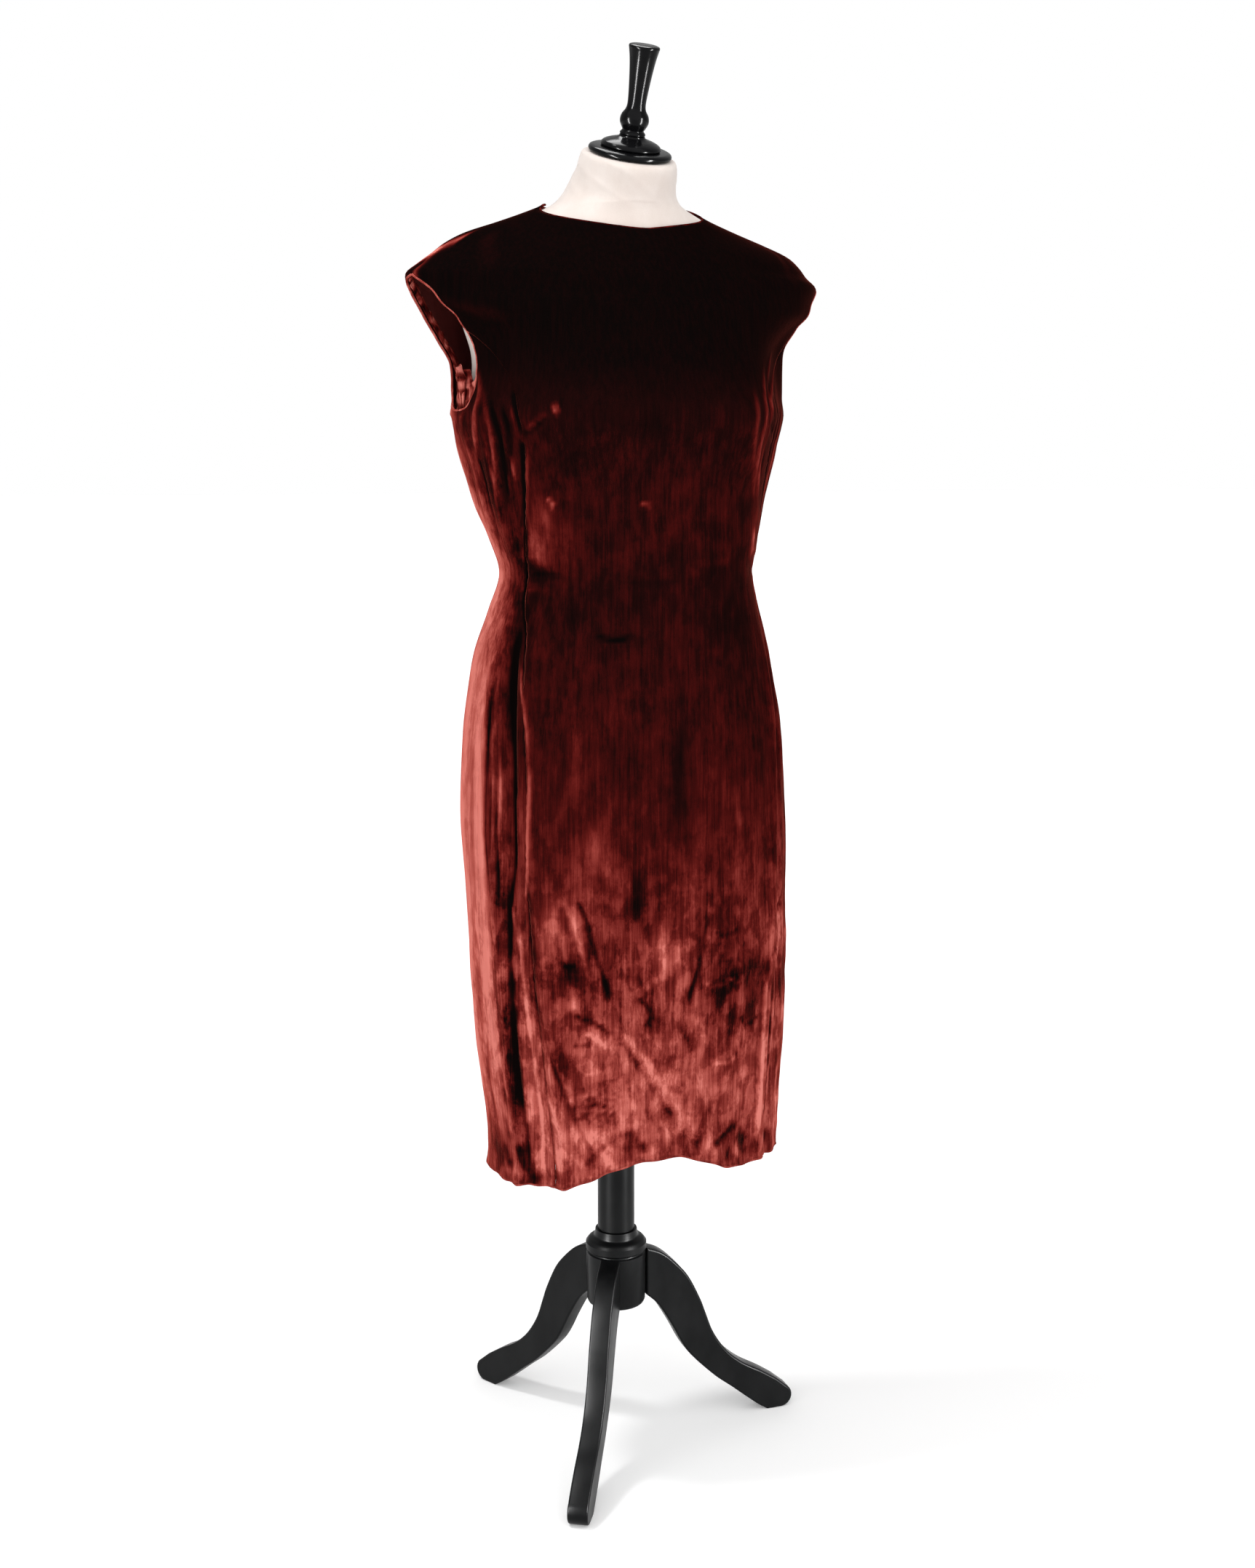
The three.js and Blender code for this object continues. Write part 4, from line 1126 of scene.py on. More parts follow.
    def crease_lift(self, angle: np.ndarray, z: np.ndarray) -> tuple[np.ndarray, np.ndarray]:
        """Work out how the creases move the cloth and paint highlights and shade on its colour.

        Args:
            angle: degrees from the centre front, unwrapped from -180 to 180.
            z: heights.

        Returns:
            Millimetres that the cloth is lifted, and the painted highlight on its colour, negative for
            painted shade.
        """
        spot = np.stack([np.radians(angle) * self.flat_radius, z], axis=-1).reshape(-1, 2)
        lift, highlight_shade = np.zeros(len(spot)), np.zeros(len(spot))
        for crease in self.creases:
            line = curve_through(crease.path, 6)
            line[:, 0] = np.radians(line[:, 0]) * self.flat_radius
            reach = 3 * crease.width
            near = np.all((spot > line.min(0) - reach) & (spot < line.max(0) + reach), axis=1)
            chosen = spot[near]
            if not len(chosen):
                continue
            best, place = np.full(len(chosen), 1e9), np.zeros(len(chosen))
            for i, (a, b) in enumerate(zip(line, line[1:])):
                t = np.clip((chosen - a) @ (b - a) / ((b - a) @ (b - a)), 0, 1)
                away = np.linalg.norm(chosen - a - t[:, None] * (b - a), axis=1)
                place = np.where(away < best, (i + t) / (len(line) - 1), place)
                best = np.minimum(best, away)
            fade = smoothstep(0, crease.fade, place) * (1 - smoothstep(1 - crease.fade, 1, place))
            uneven = 0.85 + 0.25 * np.sin(9 * place + 0.7 * line[0, 0])
            shape = np.exp(-(best / crease.width) ** 2) * fade * uneven
            lift[near] += crease.out * shape
            # Painted highlight along a ridge, painted shade along a trough
            highlight_shade[near] += self.highlight_shade_gain * crease.highlight_shade * shape
        return lift.reshape(angle.shape), highlight_shade.reshape(angle.shape)

    def seam_shape(self, angle: np.ndarray, z: np.ndarray) -> np.ndarray:
        """Sink the cloth along its seams, with small uneven puckers.

        Args:
            angle: degrees from the centre front.
            z: heights.

        Returns:
            Millimetres, negative where the cloth is sunk.
        """
        turn = np.abs(angle)
        hidden = 1 - 0.75 * smoothstep(*self.seam_hidden, z)
        lines = [(track(SEAM_LINE, "angle", z), hidden * (z < self.seam_top + 2)),
                 (track(SHOULDER_SEAM, "angle", z), z > self.cap_tip - 2),
                 (np.full_like(z, 180.0), z > 0)]
        sunk = np.zeros_like(z)
        for line, share in lines:
            away = np.radians(turn - line) * self.flat_radius
            uneven = np.sin(z * 0.43 + 1.7 * np.sin(z * 0.11)) * np.exp(-(away / 7) ** 2)
            pucker = 1 + self.seam_pucker * uneven
            sunk -= share * self.seam_dip * pucker * np.exp(-(away / self.seam_width) ** 2)
        return sunk

    def strip(self, angle: np.ndarray, z: np.ndarray) -> np.ndarray:
        """Say how far a point is inside the smooth strip down the wearer's right side, which gets a painted
        sheen, 0 to 1.
        """
        inside = smoothstep(-0.9, 0.9, track(STRIP_EDGE, "angle", z) - angle)
        return inside * smoothstep(*self.strip_back, angle) * (1 - smoothstep(*self.strip_top, z))

    def crush(self, angle: np.ndarray, z: np.ndarray) -> np.ndarray:
        """Say how crushed the velvet is, from 0 to 1."""
        low = self.crush_low * (1 - smoothstep(*self.crush_low_ends, z))
        waist = self.crush_waist * np.exp(-((z - self.waist) / 50) ** 2)
        sides = self.crush_sides * smoothstep(52, 70, np.abs(angle)) * (1 - smoothstep(1120, 1180, z))
        level = np.clip(self.crush_calm + low + waist + sides - 0.5 * self.strip(angle, z), 0.2, 1)
        return level * (1 - 0.9 * smoothstep(*self.crush_top, z))

    def nap(self, angle: np.ndarray, z: np.ndarray) -> np.ndarray:
        """Work out the painted sheen and shade of the colour before its creases, darker up the chest and
        lighter down the skirt.

        Args:
            angle: degrees from the centre front.
            z: heights.

        Returns:
            0 for black to 1 for the lightest.
        """
        value = track(SHEEN_LEVELS, "angle", z) + track(STRIP_SHEEN, "angle", z) * self.strip(angle, z)
        for stroke in STROKES:
            across = np.radians(angle - stroke.angle) * self.flat_radius / stroke.across
            value = value + stroke.highlight_shade * np.exp(-across ** 2 - ((z - stroke.z) / stroke.up) ** 2)
        return value

    def cloth(self, angle: np.ndarray, z: np.ndarray) -> tuple[np.ndarray, np.ndarray, np.ndarray]:
        """Place cloth with all its creases.

        Args:
            angle: degrees from the centre front.
            z: heights.

        Returns:
            Points, the painted sheen and shade of the colour, and crush, the last two one value a point.
        """
        point = self.plain_skin(angle, z)
        lift, highlight_shade = self.crease_lift(angle, z)
        lift = lift + self.seam_shape(angle, z)
        crush = self.crush(angle, z)
        flat = point.reshape(-1, 3)
        soft = grain(flat, self.soft_cells, 3.1).reshape(z.shape)
        fine = grain(flat, self.fine_cells, 8.7).reshape(z.shape)
        above = z - self.row_at(angle, np.full_like(z, self.hem))
        turned_up = np.exp(-((above - self.hem_turn) / self.hem_turn_spread) ** 2)
        pleated = grain(flat, self.pleat_cells, 6.1).reshape(z.shape)
        lift = lift + self.soft_lift * crush * soft + self.hem_pleat_lift * turned_up * pleated
        lift = lift + (self.fine_lift * crush + self.hem_fine_lift * turned_up) * fine
        outward = point[..., :2] / np.hypot(point[..., 0], point[..., 1])[..., None]
        point[..., :2] += outward * lift[..., None]
        seam = np.radians(np.abs(angle) - track(SEAM_LINE, "angle", z)) * self.flat_radius
        shadow = self.seam_shadow * np.exp(-(seam / self.seam_shadow_width) ** 2)
        shadow = shadow * (1 - smoothstep(*self.seam_shadow_ends, z))
        # Painted sheen, painted crease highlights and shade, painted highlights on raised crumples and shade
        # in their hollows where crushed, less the painted seam shadow
        value = self.nap(angle, z) + highlight_shade + crush * (0.16 * soft + 0.20 * fine) - shadow
        # Painted highlights on the raised crumples of the turned-up hem, painted shade in their hollows
        value = value + turned_up * (0.34 * pleated + 0.18 * fine)
        return point, np.clip(value, 0, 1.05), crush

    def normals(self, angle: np.ndarray, z: np.ndarray) -> np.ndarray:
        """Give the outward normals of the plain surface.

        Args:
            angle: degrees from the centre front.
            z: heights.

        Returns:
            Unit vectors.
        """
        sideways = self.plain_skin(angle + 0.6, z) - self.plain_skin(angle - 0.6, z)
        upward = self.plain_skin(angle, z + 1) - self.plain_skin(angle, z - 1)
        normal = np.cross(sideways, upward)
        return normal / np.linalg.norm(normal, axis=-1, keepdims=True)


@dataclass
class Dress:
    """The velvet dress: three panels, its turned edges and its crumpled armhole bands."""

    cut: DressCut
    velvet: bpy.types.Material
    backing: bpy.types.Material
    thickness: float = 1.6
    front_columns: int = 184
    back_columns: int = 102
    underarm_columns: int = 18
    tab_columns: int = 40
    level_counts: tuple[int, ...] = (196, 24, 20, 24)
    seam_gap: float = 0.06
    zip_gap: float = 0.6
    zip_slit: float = 790
    armhole_radius: float = 190
    roll_uneven: float = 0.25
    roll_crush: float = 0.35
    roll_cells: tuple[float, float, float] = (7, 7, 7)
    band_radius: float = 175
    band_width: float = 19
    band_rise: float = 44
    band_from: float = 88
    band_below: float = 1178
    band_columns: int = 22
    band_inset: float = 2.6
    band_fullness: float = 2.4
    band_crumple: float = 2.6
    band_creasing: float = 0.9
    band_lean: float = 0.10
    band_crush: float = 0.5
    band_thickness: float = 0.9

    def levels(self) -> np.ndarray:
        """List the levels of the cloth's rows, with one at each change of its edges."""
        stops = (self.cut.hem, self.cut.underarm, self.cut.seam_top, self.cut.cap_tip, self.cut.neck_point)
        parts = [np.linspace(low, high, count, endpoint=False)
                 for low, high, count in zip(stops, stops[1:], self.level_counts)]
        return np.concatenate([*parts, [self.cut.neck_point]])

    def finish_panel(self, name: str, angles: np.ndarray, levels: np.ndarray,
                     present: np.ndarray | None) -> bpy.types.Object:
        """Make one panel as a thin shell.

        Args:
            name: name of the CAD node that the panel stands for.
            angles: angle of each point, by row and column, from the wearer's right to the left.
            levels: level of each row.
            present: which cells have cloth, all of them if left out.

        Returns:
            The panel.
        """
        z = self.cut.row_at(angles, levels[:, None])
        point, nap, crush = self.cut.cloth(angles, z)
        rows, columns = z.shape
        faces = grid_faces(rows, columns, present=present)
        panel = add_mesh(f"{name}_cloth", point.reshape(-1, 3), faces)
        set_sheen_and_crush(panel, nap, crush)
        loose = bmesh.new()
        loose.from_mesh(panel.data)
        bmesh.ops.delete(loose, geom=[v for v in loose.verts if not v.link_faces], context="VERTS")
        loose.to_mesh(panel.data)
        loose.free()
        panel.data.materials.append(self.velvet)
        panel.data.materials.append(self.backing)
        shell = thicken(panel, self.thickness, -1)
        shell.material_offset = 1
        shell.material_offset_rim = 0
        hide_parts(name)
        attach(panel, "form")
        return panel

    def front_panel(self) -> bpy.types.Object:
        """Make the front, from side-front seam to side-front seam."""
        levels = self.levels()
        end = self.cut.front_end(levels) - self.seam_gap
        across = np.linspace(-1, 1, self.front_columns + 1)
        return self.finish_panel("dress_front", end[:, None] * across[None], levels, None)

    def back_panel(self, side: Side) -> bpy.types.Object:
        """Make one back panel, which runs round under the arm to the side-front seam.

        Args:
            side: the wearer's side.

        Returns:
            The panel.
        """
        cut = self.cut
        levels = self.levels()
        armhole = cut.back_end(levels) + np.where(levels >= cut.cap_tip, self.seam_gap, 0)
        seam = np.where(levels <= cut.seam_top, track(SEAM_LINE, "angle", levels) + self.seam_gap, armhole)
        low_seam = float(track(SEAM_LINE, "angle", np.array(cut.underarm)))
        share = (ARMHOLE_FRONT[0].angle - low_seam) / (ARMHOLE_BACK[0].angle - low_seam)
        edge = np.where(levels > cut.seam_top, armhole, np.where(
            levels > cut.underarm, track(ARMHOLE_FRONT, "angle", levels), seam + (armhole - seam) * share))
        middle = 180 - np.where(levels > self.zip_slit, self.zip_gap, self.seam_gap)
        counts = (self.back_columns, self.underarm_columns, self.tab_columns)
        ends = (middle, armhole, edge, seam)
        parts = [a[:, None] + (b - a)[:, None] * np.linspace(0, 1, count, endpoint=False)[None]
                 for a, b, count in zip(ends, ends[1:], counts)]
        angles = np.concatenate([*parts, seam[:, None]], axis=1)
        column = np.arange(angles.shape[1] - 1)
        low, high = levels[:-1, None] < cut.underarm, levels[:-1, None] < cut.seam_top
        tab = self.back_columns + self.underarm_columns
        present = low | (column < self.back_columns) | (high & (column >= tab))
        if side is Side.LEFT:
            return self.finish_panel(f"dress_back_{side.word}", angles[:, ::-1], levels, present[:, ::-1])
        return self.finish_panel(f"dress_back_{side.word}", -angles, levels, present)

    def armhole_line(self, spacing: float = 2.4) -> tuple[np.ndarray, np.ndarray]:
        """Trace an armhole, from its tip down the front edge and up the back.

        Args:
            spacing: millimetres between points.

        Returns:
            Angles and levels of the points.
        """
        corners = [(row.angle, row.z) for row in reversed(ARMHOLE_FRONT)]
        corners += [(row.angle, row.z) for row in ARMHOLE_BACK[:-1]]
        line = curve_through([*corners, corners[0]], 12)
        flat = np.stack([np.radians(line[:, 0]) * self.armhole_radius, line[:, 1]], axis=1)
        run = np.concatenate([[0], np.cumsum(np.linalg.norm(np.diff(flat, axis=0), axis=1))])
        even = np.linspace(0, run[-1], int(run[-1] / spacing), endpoint=False)
        return np.interp(even, run, line[:, 0]), np.interp(even, run, line[:, 1])

    def edge_roll(self, edge: Edge, side: Side | None = None) -> bpy.types.Object:
        """Make the rounded turned edge round an opening.

        Args:
            edge: which opening.
            side: the wearer's side, for an armhole.

        Returns:
            The rolled edge.
        """
        cut = self.cut
        name = edge.value if side is None else f"{edge.value}_{side.word}"
        if edge is Edge.ARMHOLE:
            angle, level = self.armhole_line()
            angle = angle * side.value
        else:
            angle = np.linspace(-180, 180, 420, endpoint=False)
            level = np.full_like(angle, cut.neck_point if edge is Edge.NECK else cut.hem)
        z = cut.row_at(angle, level)
        point, _, _ = cut.cloth(angle, z)
        path = point - cut.normals(angle, z) * self.thickness / 2
        wander = grain(path, (9, 9, 9), 5.3)
        points, faces = tube(path, ROLLS[edge].radius * (1 + 0.16 * wander), sides=10, closed=True)
        roll = add_mesh(name, points, faces)
        shade = ROLLS[edge].nap + self.roll_uneven * grain(points, self.roll_cells, 2.2)
        set_sheen_and_crush(roll, np.clip(shade, 0, 1), self.roll_crush)
        roll.data.materials.append(self.velvet)
        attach(roll, "form")
        return roll

    def armhole_band(self, side: Side) -> bpy.types.Object:
        """Make the turned-in cloth round the back of an armhole, bunched under the arm.

        Args:
            side: the wearer's side.

        Returns:
            The band.
        """
        cut = self.cut
        angle, level = self.armhole_line(1.9)
        flat = np.stack([np.radians(angle) * self.band_radius, level], axis=1)
        along = np.roll(flat, -1, axis=0) - np.roll(flat, 1, axis=0)
        away = np.stack([-along[:, 1], along[:, 0]], axis=1)
        away /= np.linalg.norm(away, axis=1, keepdims=True)
        away *= np.sign(np.sum(away * (flat - flat.mean(0)), axis=1))[:, None]
        turned = np.where((angle > self.band_from) | (level < self.band_below))[0]
        flat, away = flat[turned], away[turned]
        count = len(turned)
        run = np.linspace(0, 1, count)
        ends = smoothstep(0, 0.06, run) * (1 - smoothstep(0.97, 1, run))
        rise = self.band_rise * np.exp(-((run - 0.30) / 0.20) ** 2) * ends
        steps = np.linspace(0, 1, self.band_columns)
        width = -rise[:, None] + (self.band_width * (0.35 + 0.65 * ends) + rise)[:, None] * steps[None]
        spot = flat[:, None] + away[:, None] * width[..., None]
        turn = np.degrees(spot[..., 0] / self.band_radius) * side.value
        z = spot[..., 1]
        point = cut.plain_skin(turn, z)
        normal = cut.normals(turn, z)
        cells = point.reshape(-1, 3)
        crumple = 1 - 2 * np.abs(grain(cells, (10, 10, 15), 4.4).reshape(z.shape))
        small = grain(cells, (4.5, 4.5, 6), 6.6).reshape(z.shape)
        fullness = smoothstep(0, 0.2, steps)[None] * (1 - smoothstep(0.85, 1, steps))[None]
        bunched = self.band_crumple * crumple + self.band_creasing * small + self.band_fullness
        depth = self.band_inset + bunched * (0.25 + 0.75 * fullness) + self.band_lean * np.maximum(-width, 0)
        point = point - normal * depth[..., None]
        faces = grid_faces(count, len(steps))
        band = add_mesh(f"armhole_band_{side.word}_cloth", point.reshape(-1, 3), faces)
        # Painted highlights on the band's crumpled ridges, painted shade in its hollows
        set_sheen_and_crush(band, np.clip(1.12 - 0.85 * crumple - 0.35 * small, 0.06, 1), self.band_crush)
        band.data.materials.append(self.velvet)
        thicken(band, self.band_thickness)
        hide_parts(f"armhole_band_{side.word}")
        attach(band, "form")
        return band

    def build(self) -> list[bpy.types.Object]:
        """Make every piece of the dress.

        Returns:
            The pieces.
        """
        front = self.front_panel()
        backs = {side: self.back_panel(side) for side in Side}
        bands = {side: self.armhole_band(side) for side in Side}
        rolls = [self.edge_roll(Edge.NECK), self.edge_roll(Edge.HEM)]
        rolls += [self.edge_roll(Edge.ARMHOLE, side) for side in Side]
        return [front, *backs.values(), *bands.values(), *rolls]


TORSO_SECTIONS = rows_of(
    TorsoSection,
    (612, 156, 122, 80, 2.05), (640, 163, 130, 86, 2.05), (724, 167, 134, 94, 2.05),
    (806, 162, 132, 96, 2.05), (888, 148, 125, 92, 2.05), (934, 132, 116, 79, 2.1),
    (968, 125, 112, 71, 2.1), (1002, 132, 116, 81, 2.1), (1047, 147, 128, 106, 2.1),
    (1092, 156, 135, 120, 2.1), (1126, 157, 139, 123, 2.1), (1160, 152, 133, 122, 2.1),
    (1190, 152, 125, 120, 2.05), (1215, 162, 117, 115, 2.0), (1250, 179, 104, 104, 1.9),
    (1270, 187, 95, 96, 1.8), (1284, 187, 88, 90, 1.65),
)
NECK_RINGS = rows_of(
    NeckRing,
    (1, 1333.5, 73, 67.5, 0), (8, 1341, 62.5, 62, 5), (15, 1350, 56, 57, 10), (24, 1362, 51.5, 53, 15),
    (33.5, 1377, 49, 50.5, 20.3), (35.4, 1381.6, 47.4, 48.6, 20.3), (36.1, 1383.2, 44.5, 44.5, 20.3),
)


@dataclass
class Form:
    """The limbless form: a jersey-covered torso and neck, hollow where the pole's top sits."""

    cut: DressCut
    jersey: bpy.types.Material
    clearance: float = 3.2
    shoulder_half: float = 186
    shoulder_heights: tuple[float, ...] = (1291, 1299, 1307, 1316, 1325)
    socket_radius: float = 20.9
    socket_top: float = 700.3
    sides: int = 120
    row_height: float = 7
    neck_softening: int = 3
    swell_share: float = 0.75
    neck_base: float = 1340
    neck_forward: float = 18

    @property
    def turns(self) -> np.ndarray:
        """Angles of a ring's points, in degrees from the front."""
        return np.linspace(-180, 180, self.sides, endpoint=False)

    def ring(self, z: float) -> np.ndarray:
        """Place one level ring of the torso, on the same outline as the part's source."""
        angle = self.turns
        level = np.full_like(angle, z)
        over = level + self.clearance
        dress = {column: track(SECTIONS, column, over)
                 for column in ("front_half", "back_half", "front", "back", "power", "drift")}
        if z <= TORSO_SECTIONS[-1].z:
            half = track(TORSO_SECTIONS, "half", level)
            front, back = (track(TORSO_SECTIONS, column, level) for column in ("front", "back"))
            point = section_points(angle, level, half, half, front, back,
                                   track(TORSO_SECTIONS, "power", level), dress["drift"])
        else:
            point = section_points(angle, level, np.minimum(dress["front_half"], self.shoulder_half),
                                   np.minimum(dress["back_half"], self.shoulder_half),
                                   dress["front"] - self.clearance, dress["back"] - self.clearance,
                                   dress["power"], dress["drift"])
        up = (level - self.cut.bust_height) / self.cut.bust_spread_up
        side = (np.abs(point[:, 0]) - self.cut.bust_side) / self.cut.bust_spread_side
        swell = self.swell_share * self.cut.bust_swell * np.exp(-up * up - side * side)
        point[:, 1] -= np.where(point[:, 1] <= 0, swell, 0)
        return point

    def neck_ring(self, values: np.ndarray) -> np.ndarray:
        """Place one leaning ring of the neck from its forward, z, half, depth and tilt."""
        forward, z, half, depth, tilt = values
        a = np.radians(self.turns)
        lean, ahead = math.radians(tilt), depth * np.cos(a)
        return np.stack([half * np.sin(a), -forward - ahead * math.cos(lean), z - ahead * math.sin(lean)],
                        axis=-1)

    def socket_ring(self, z: float, radius: float) -> np.ndarray:
        """Place a ring of the pole's socket."""
        a = np.radians(self.turns)
        return np.stack([radius * np.sin(a), -radius * np.cos(a), np.full_like(a, z)], axis=-1)

    def build(self) -> list[bpy.types.Object]:
        """Make the jersey-covered torso and neck.

        Returns:
            The one piece.
        """
        low, high = TORSO_SECTIONS[0].z, TORSO_SECTIONS[-1].z
        heights = [*np.linspace(low, high, int((high - low) / self.row_height)), *self.shoulder_heights]
        neck = curve_through([(r.forward, r.z, r.half, r.depth, r.tilt) for r in NECK_RINGS], 7)
        outer = [self.ring(z) for z in heights]
        shoulder = [outer[-1] * (1 - t) + self.neck_ring(neck[0]) * t for t in (0.35, 0.7)]
        outer = np.array(outer + shoulder + [self.neck_ring(values) for values in neck])
        soft = np.arange(len(heights) - 3, len(heights) + 12)
        for _ in range(self.neck_softening):
            outer[soft] = (outer[soft - 1] + 2 * outer[soft] + outer[soft + 1]) / 4
        base = outer[0]
        top, radius = self.socket_top, self.socket_radius
        under = [self.socket_ring(top, 1.0), self.socket_ring(top, radius), self.socket_ring(low, radius)]
        for share in (0.35, 0.7, 0.94):
            ring = under[2] * (1 - share) + base * share
            ring[:, 2] = low
            under.append(ring)
        lip = base * [0.985, 0.985, 1]
        lip[:, 2] = low + 0.4
        rounded = base.copy()
        rounded[:, 2] = low + 2.4
        rings = np.array([*under, lip, rounded, *outer[1:]])
        points = rings.reshape(-1, 3)
        wrinkle = self.wrinkles(points)
        centre = np.array([0, -self.neck_forward, 0])
        outward = (points - centre) * [1, 1, 0]
        outward /= np.maximum(np.linalg.norm(outward, axis=1, keepdims=True), 1e-6)
        points = points + outward * wrinkle[:, None]
        faces = grid_faces(len(rings), self.sides, around=True)
        faces = [(d, c, b, a) for a, b, c, d in faces]
        last = (len(rings) - 1) * self.sides
        faces.append(tuple(last + s for s in range(self.sides))[::-1])
        faces.append(tuple(range(self.sides)))
        torso = add_mesh("form_torso_cover", points, faces, sharp_angle=50)
        torso.data.materials.append(self.jersey)
        self.point_outward(torso)
        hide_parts("form_torso")
        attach(torso, "form")
        return [torso]

    def wrinkles(self, points: np.ndarray) -> np.ndarray:
        """Draw the jersey's soft drag lines round the neck and shoulders.

        Args:
            points: millimetre points of the torso.

        Returns:
            Millimetres that each point is raised.
        """
        z = points[:, 2]
        turn = np.arctan2(points[:, 0], -points[:, 1] - self.neck_forward)
        on_neck = smoothstep(1300, 1345, z) * (1 - smoothstep(1376, 1386, z))
        up = z - self.neck_base
        drag = np.sin(turn * 7 + up * 0.16) + 0.6 * np.sin(turn * 4 - z * 0.21)
        soft = grain(points, (16, 16, 22), 9.4)
        pulls = np.maximum(np.sin(turn * 9 + up * 0.24), 0) ** 3
        return on_neck * (0.30 * drag + 0.6 * soft + 0.5 * pulls) + 0.25 * grain(points, (40, 40, 40), 1.3)

    def point_outward(self, piece: bpy.types.Object) -> None:
        """Turn every face to look out of a closed piece."""
        work = bmesh.new()
        work.from_mesh(piece.data)
        bmesh.ops.recalc_face_normals(work, faces=work.faces)
        work.to_mesh(piece.data)
        work.free()


@dataclass
class NeckCap:
    """Lacquered disc, dome and finial on the neck, on an axis that leans forward."""

    lacquer: bpy.types.Material
    tilt: float = 20.3
    forward: float = 36.2
    height: float = 1383.5
    disc_radius: float = 42.1

    def place(self, piece: bpy.types.Object, node: str) -> bpy.types.Object:
        """Lean a turned piece onto the neck and let it stand for its CAD node.

        Args:
            piece: a piece turned about Z.
            node: the CAD node's name.

        Returns:
            The piece.
        """
        lean = Matrix.Rotation(math.radians(self.tilt), 4, "X")
        seat = Vector((STAND_SHIFT * MM).tolist())
        spot = Vector((0, -self.forward * MM, self.height * MM))
        piece.data.transform(Matrix.Translation(seat + spot) @ lean @ Matrix.Translation(-seat))
        piece.data.materials.append(self.lacquer)
        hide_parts(node)
        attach(piece, "form")
        return piece

    def build(self) -> list[bpy.types.Object]:
        """Turn the disc, the dome and the finial.

        Returns:
            The three pieces.
        """
        r = self.disc_radius
        rim = rounded([(r - 2.5, 0.3), (r - 0.6, 1.4), (r, 3.4), (r - 0.8, 5.4), (r - 3, 6.6), (r - 5, 7)])
        disc = lathe("neck_cap_disc_lacquered", [(0, 0.3), *rim, (0, 7)], 128, 40)
        dome_curve = rounded([(29.5, 7.3), (30.4, 8.6), (30, 10.4), (27.6, 12.6), (22.5, 14.8),
                              (16.5, 16.6), (13.4, 18), (12.8, 19.4)])
        dome = lathe("neck_cap_dome_lacquered", [(0, 7.3), *dome_curve, (0, 19.4)], 128, 50)
        stem = rounded([(12.2, 19.7), (12.9, 21.4), (11.6, 23.2), (10.8, 24.6), (12.4, 27.4), (14.2, 31.4),
                        (14.4, 35.4), (13.2, 39.4), (10.8, 43), (9.6, 46), (9.2, 50), (9.4, 56), (10.2, 66),
                        (11.6, 80), (13.2, 92), (14.8, 100), (15.4, 102.6), (14.9, 104.2), (13, 105)])
        finial = lathe("finial_lacquered", [(0, 19.7), *stem, (0, 105)], 96, 50)
        return [self.place(disc, "neck_cap_disc"), self.place(dome, "neck_cap_dome"),
                self.place(finial, "finial")]


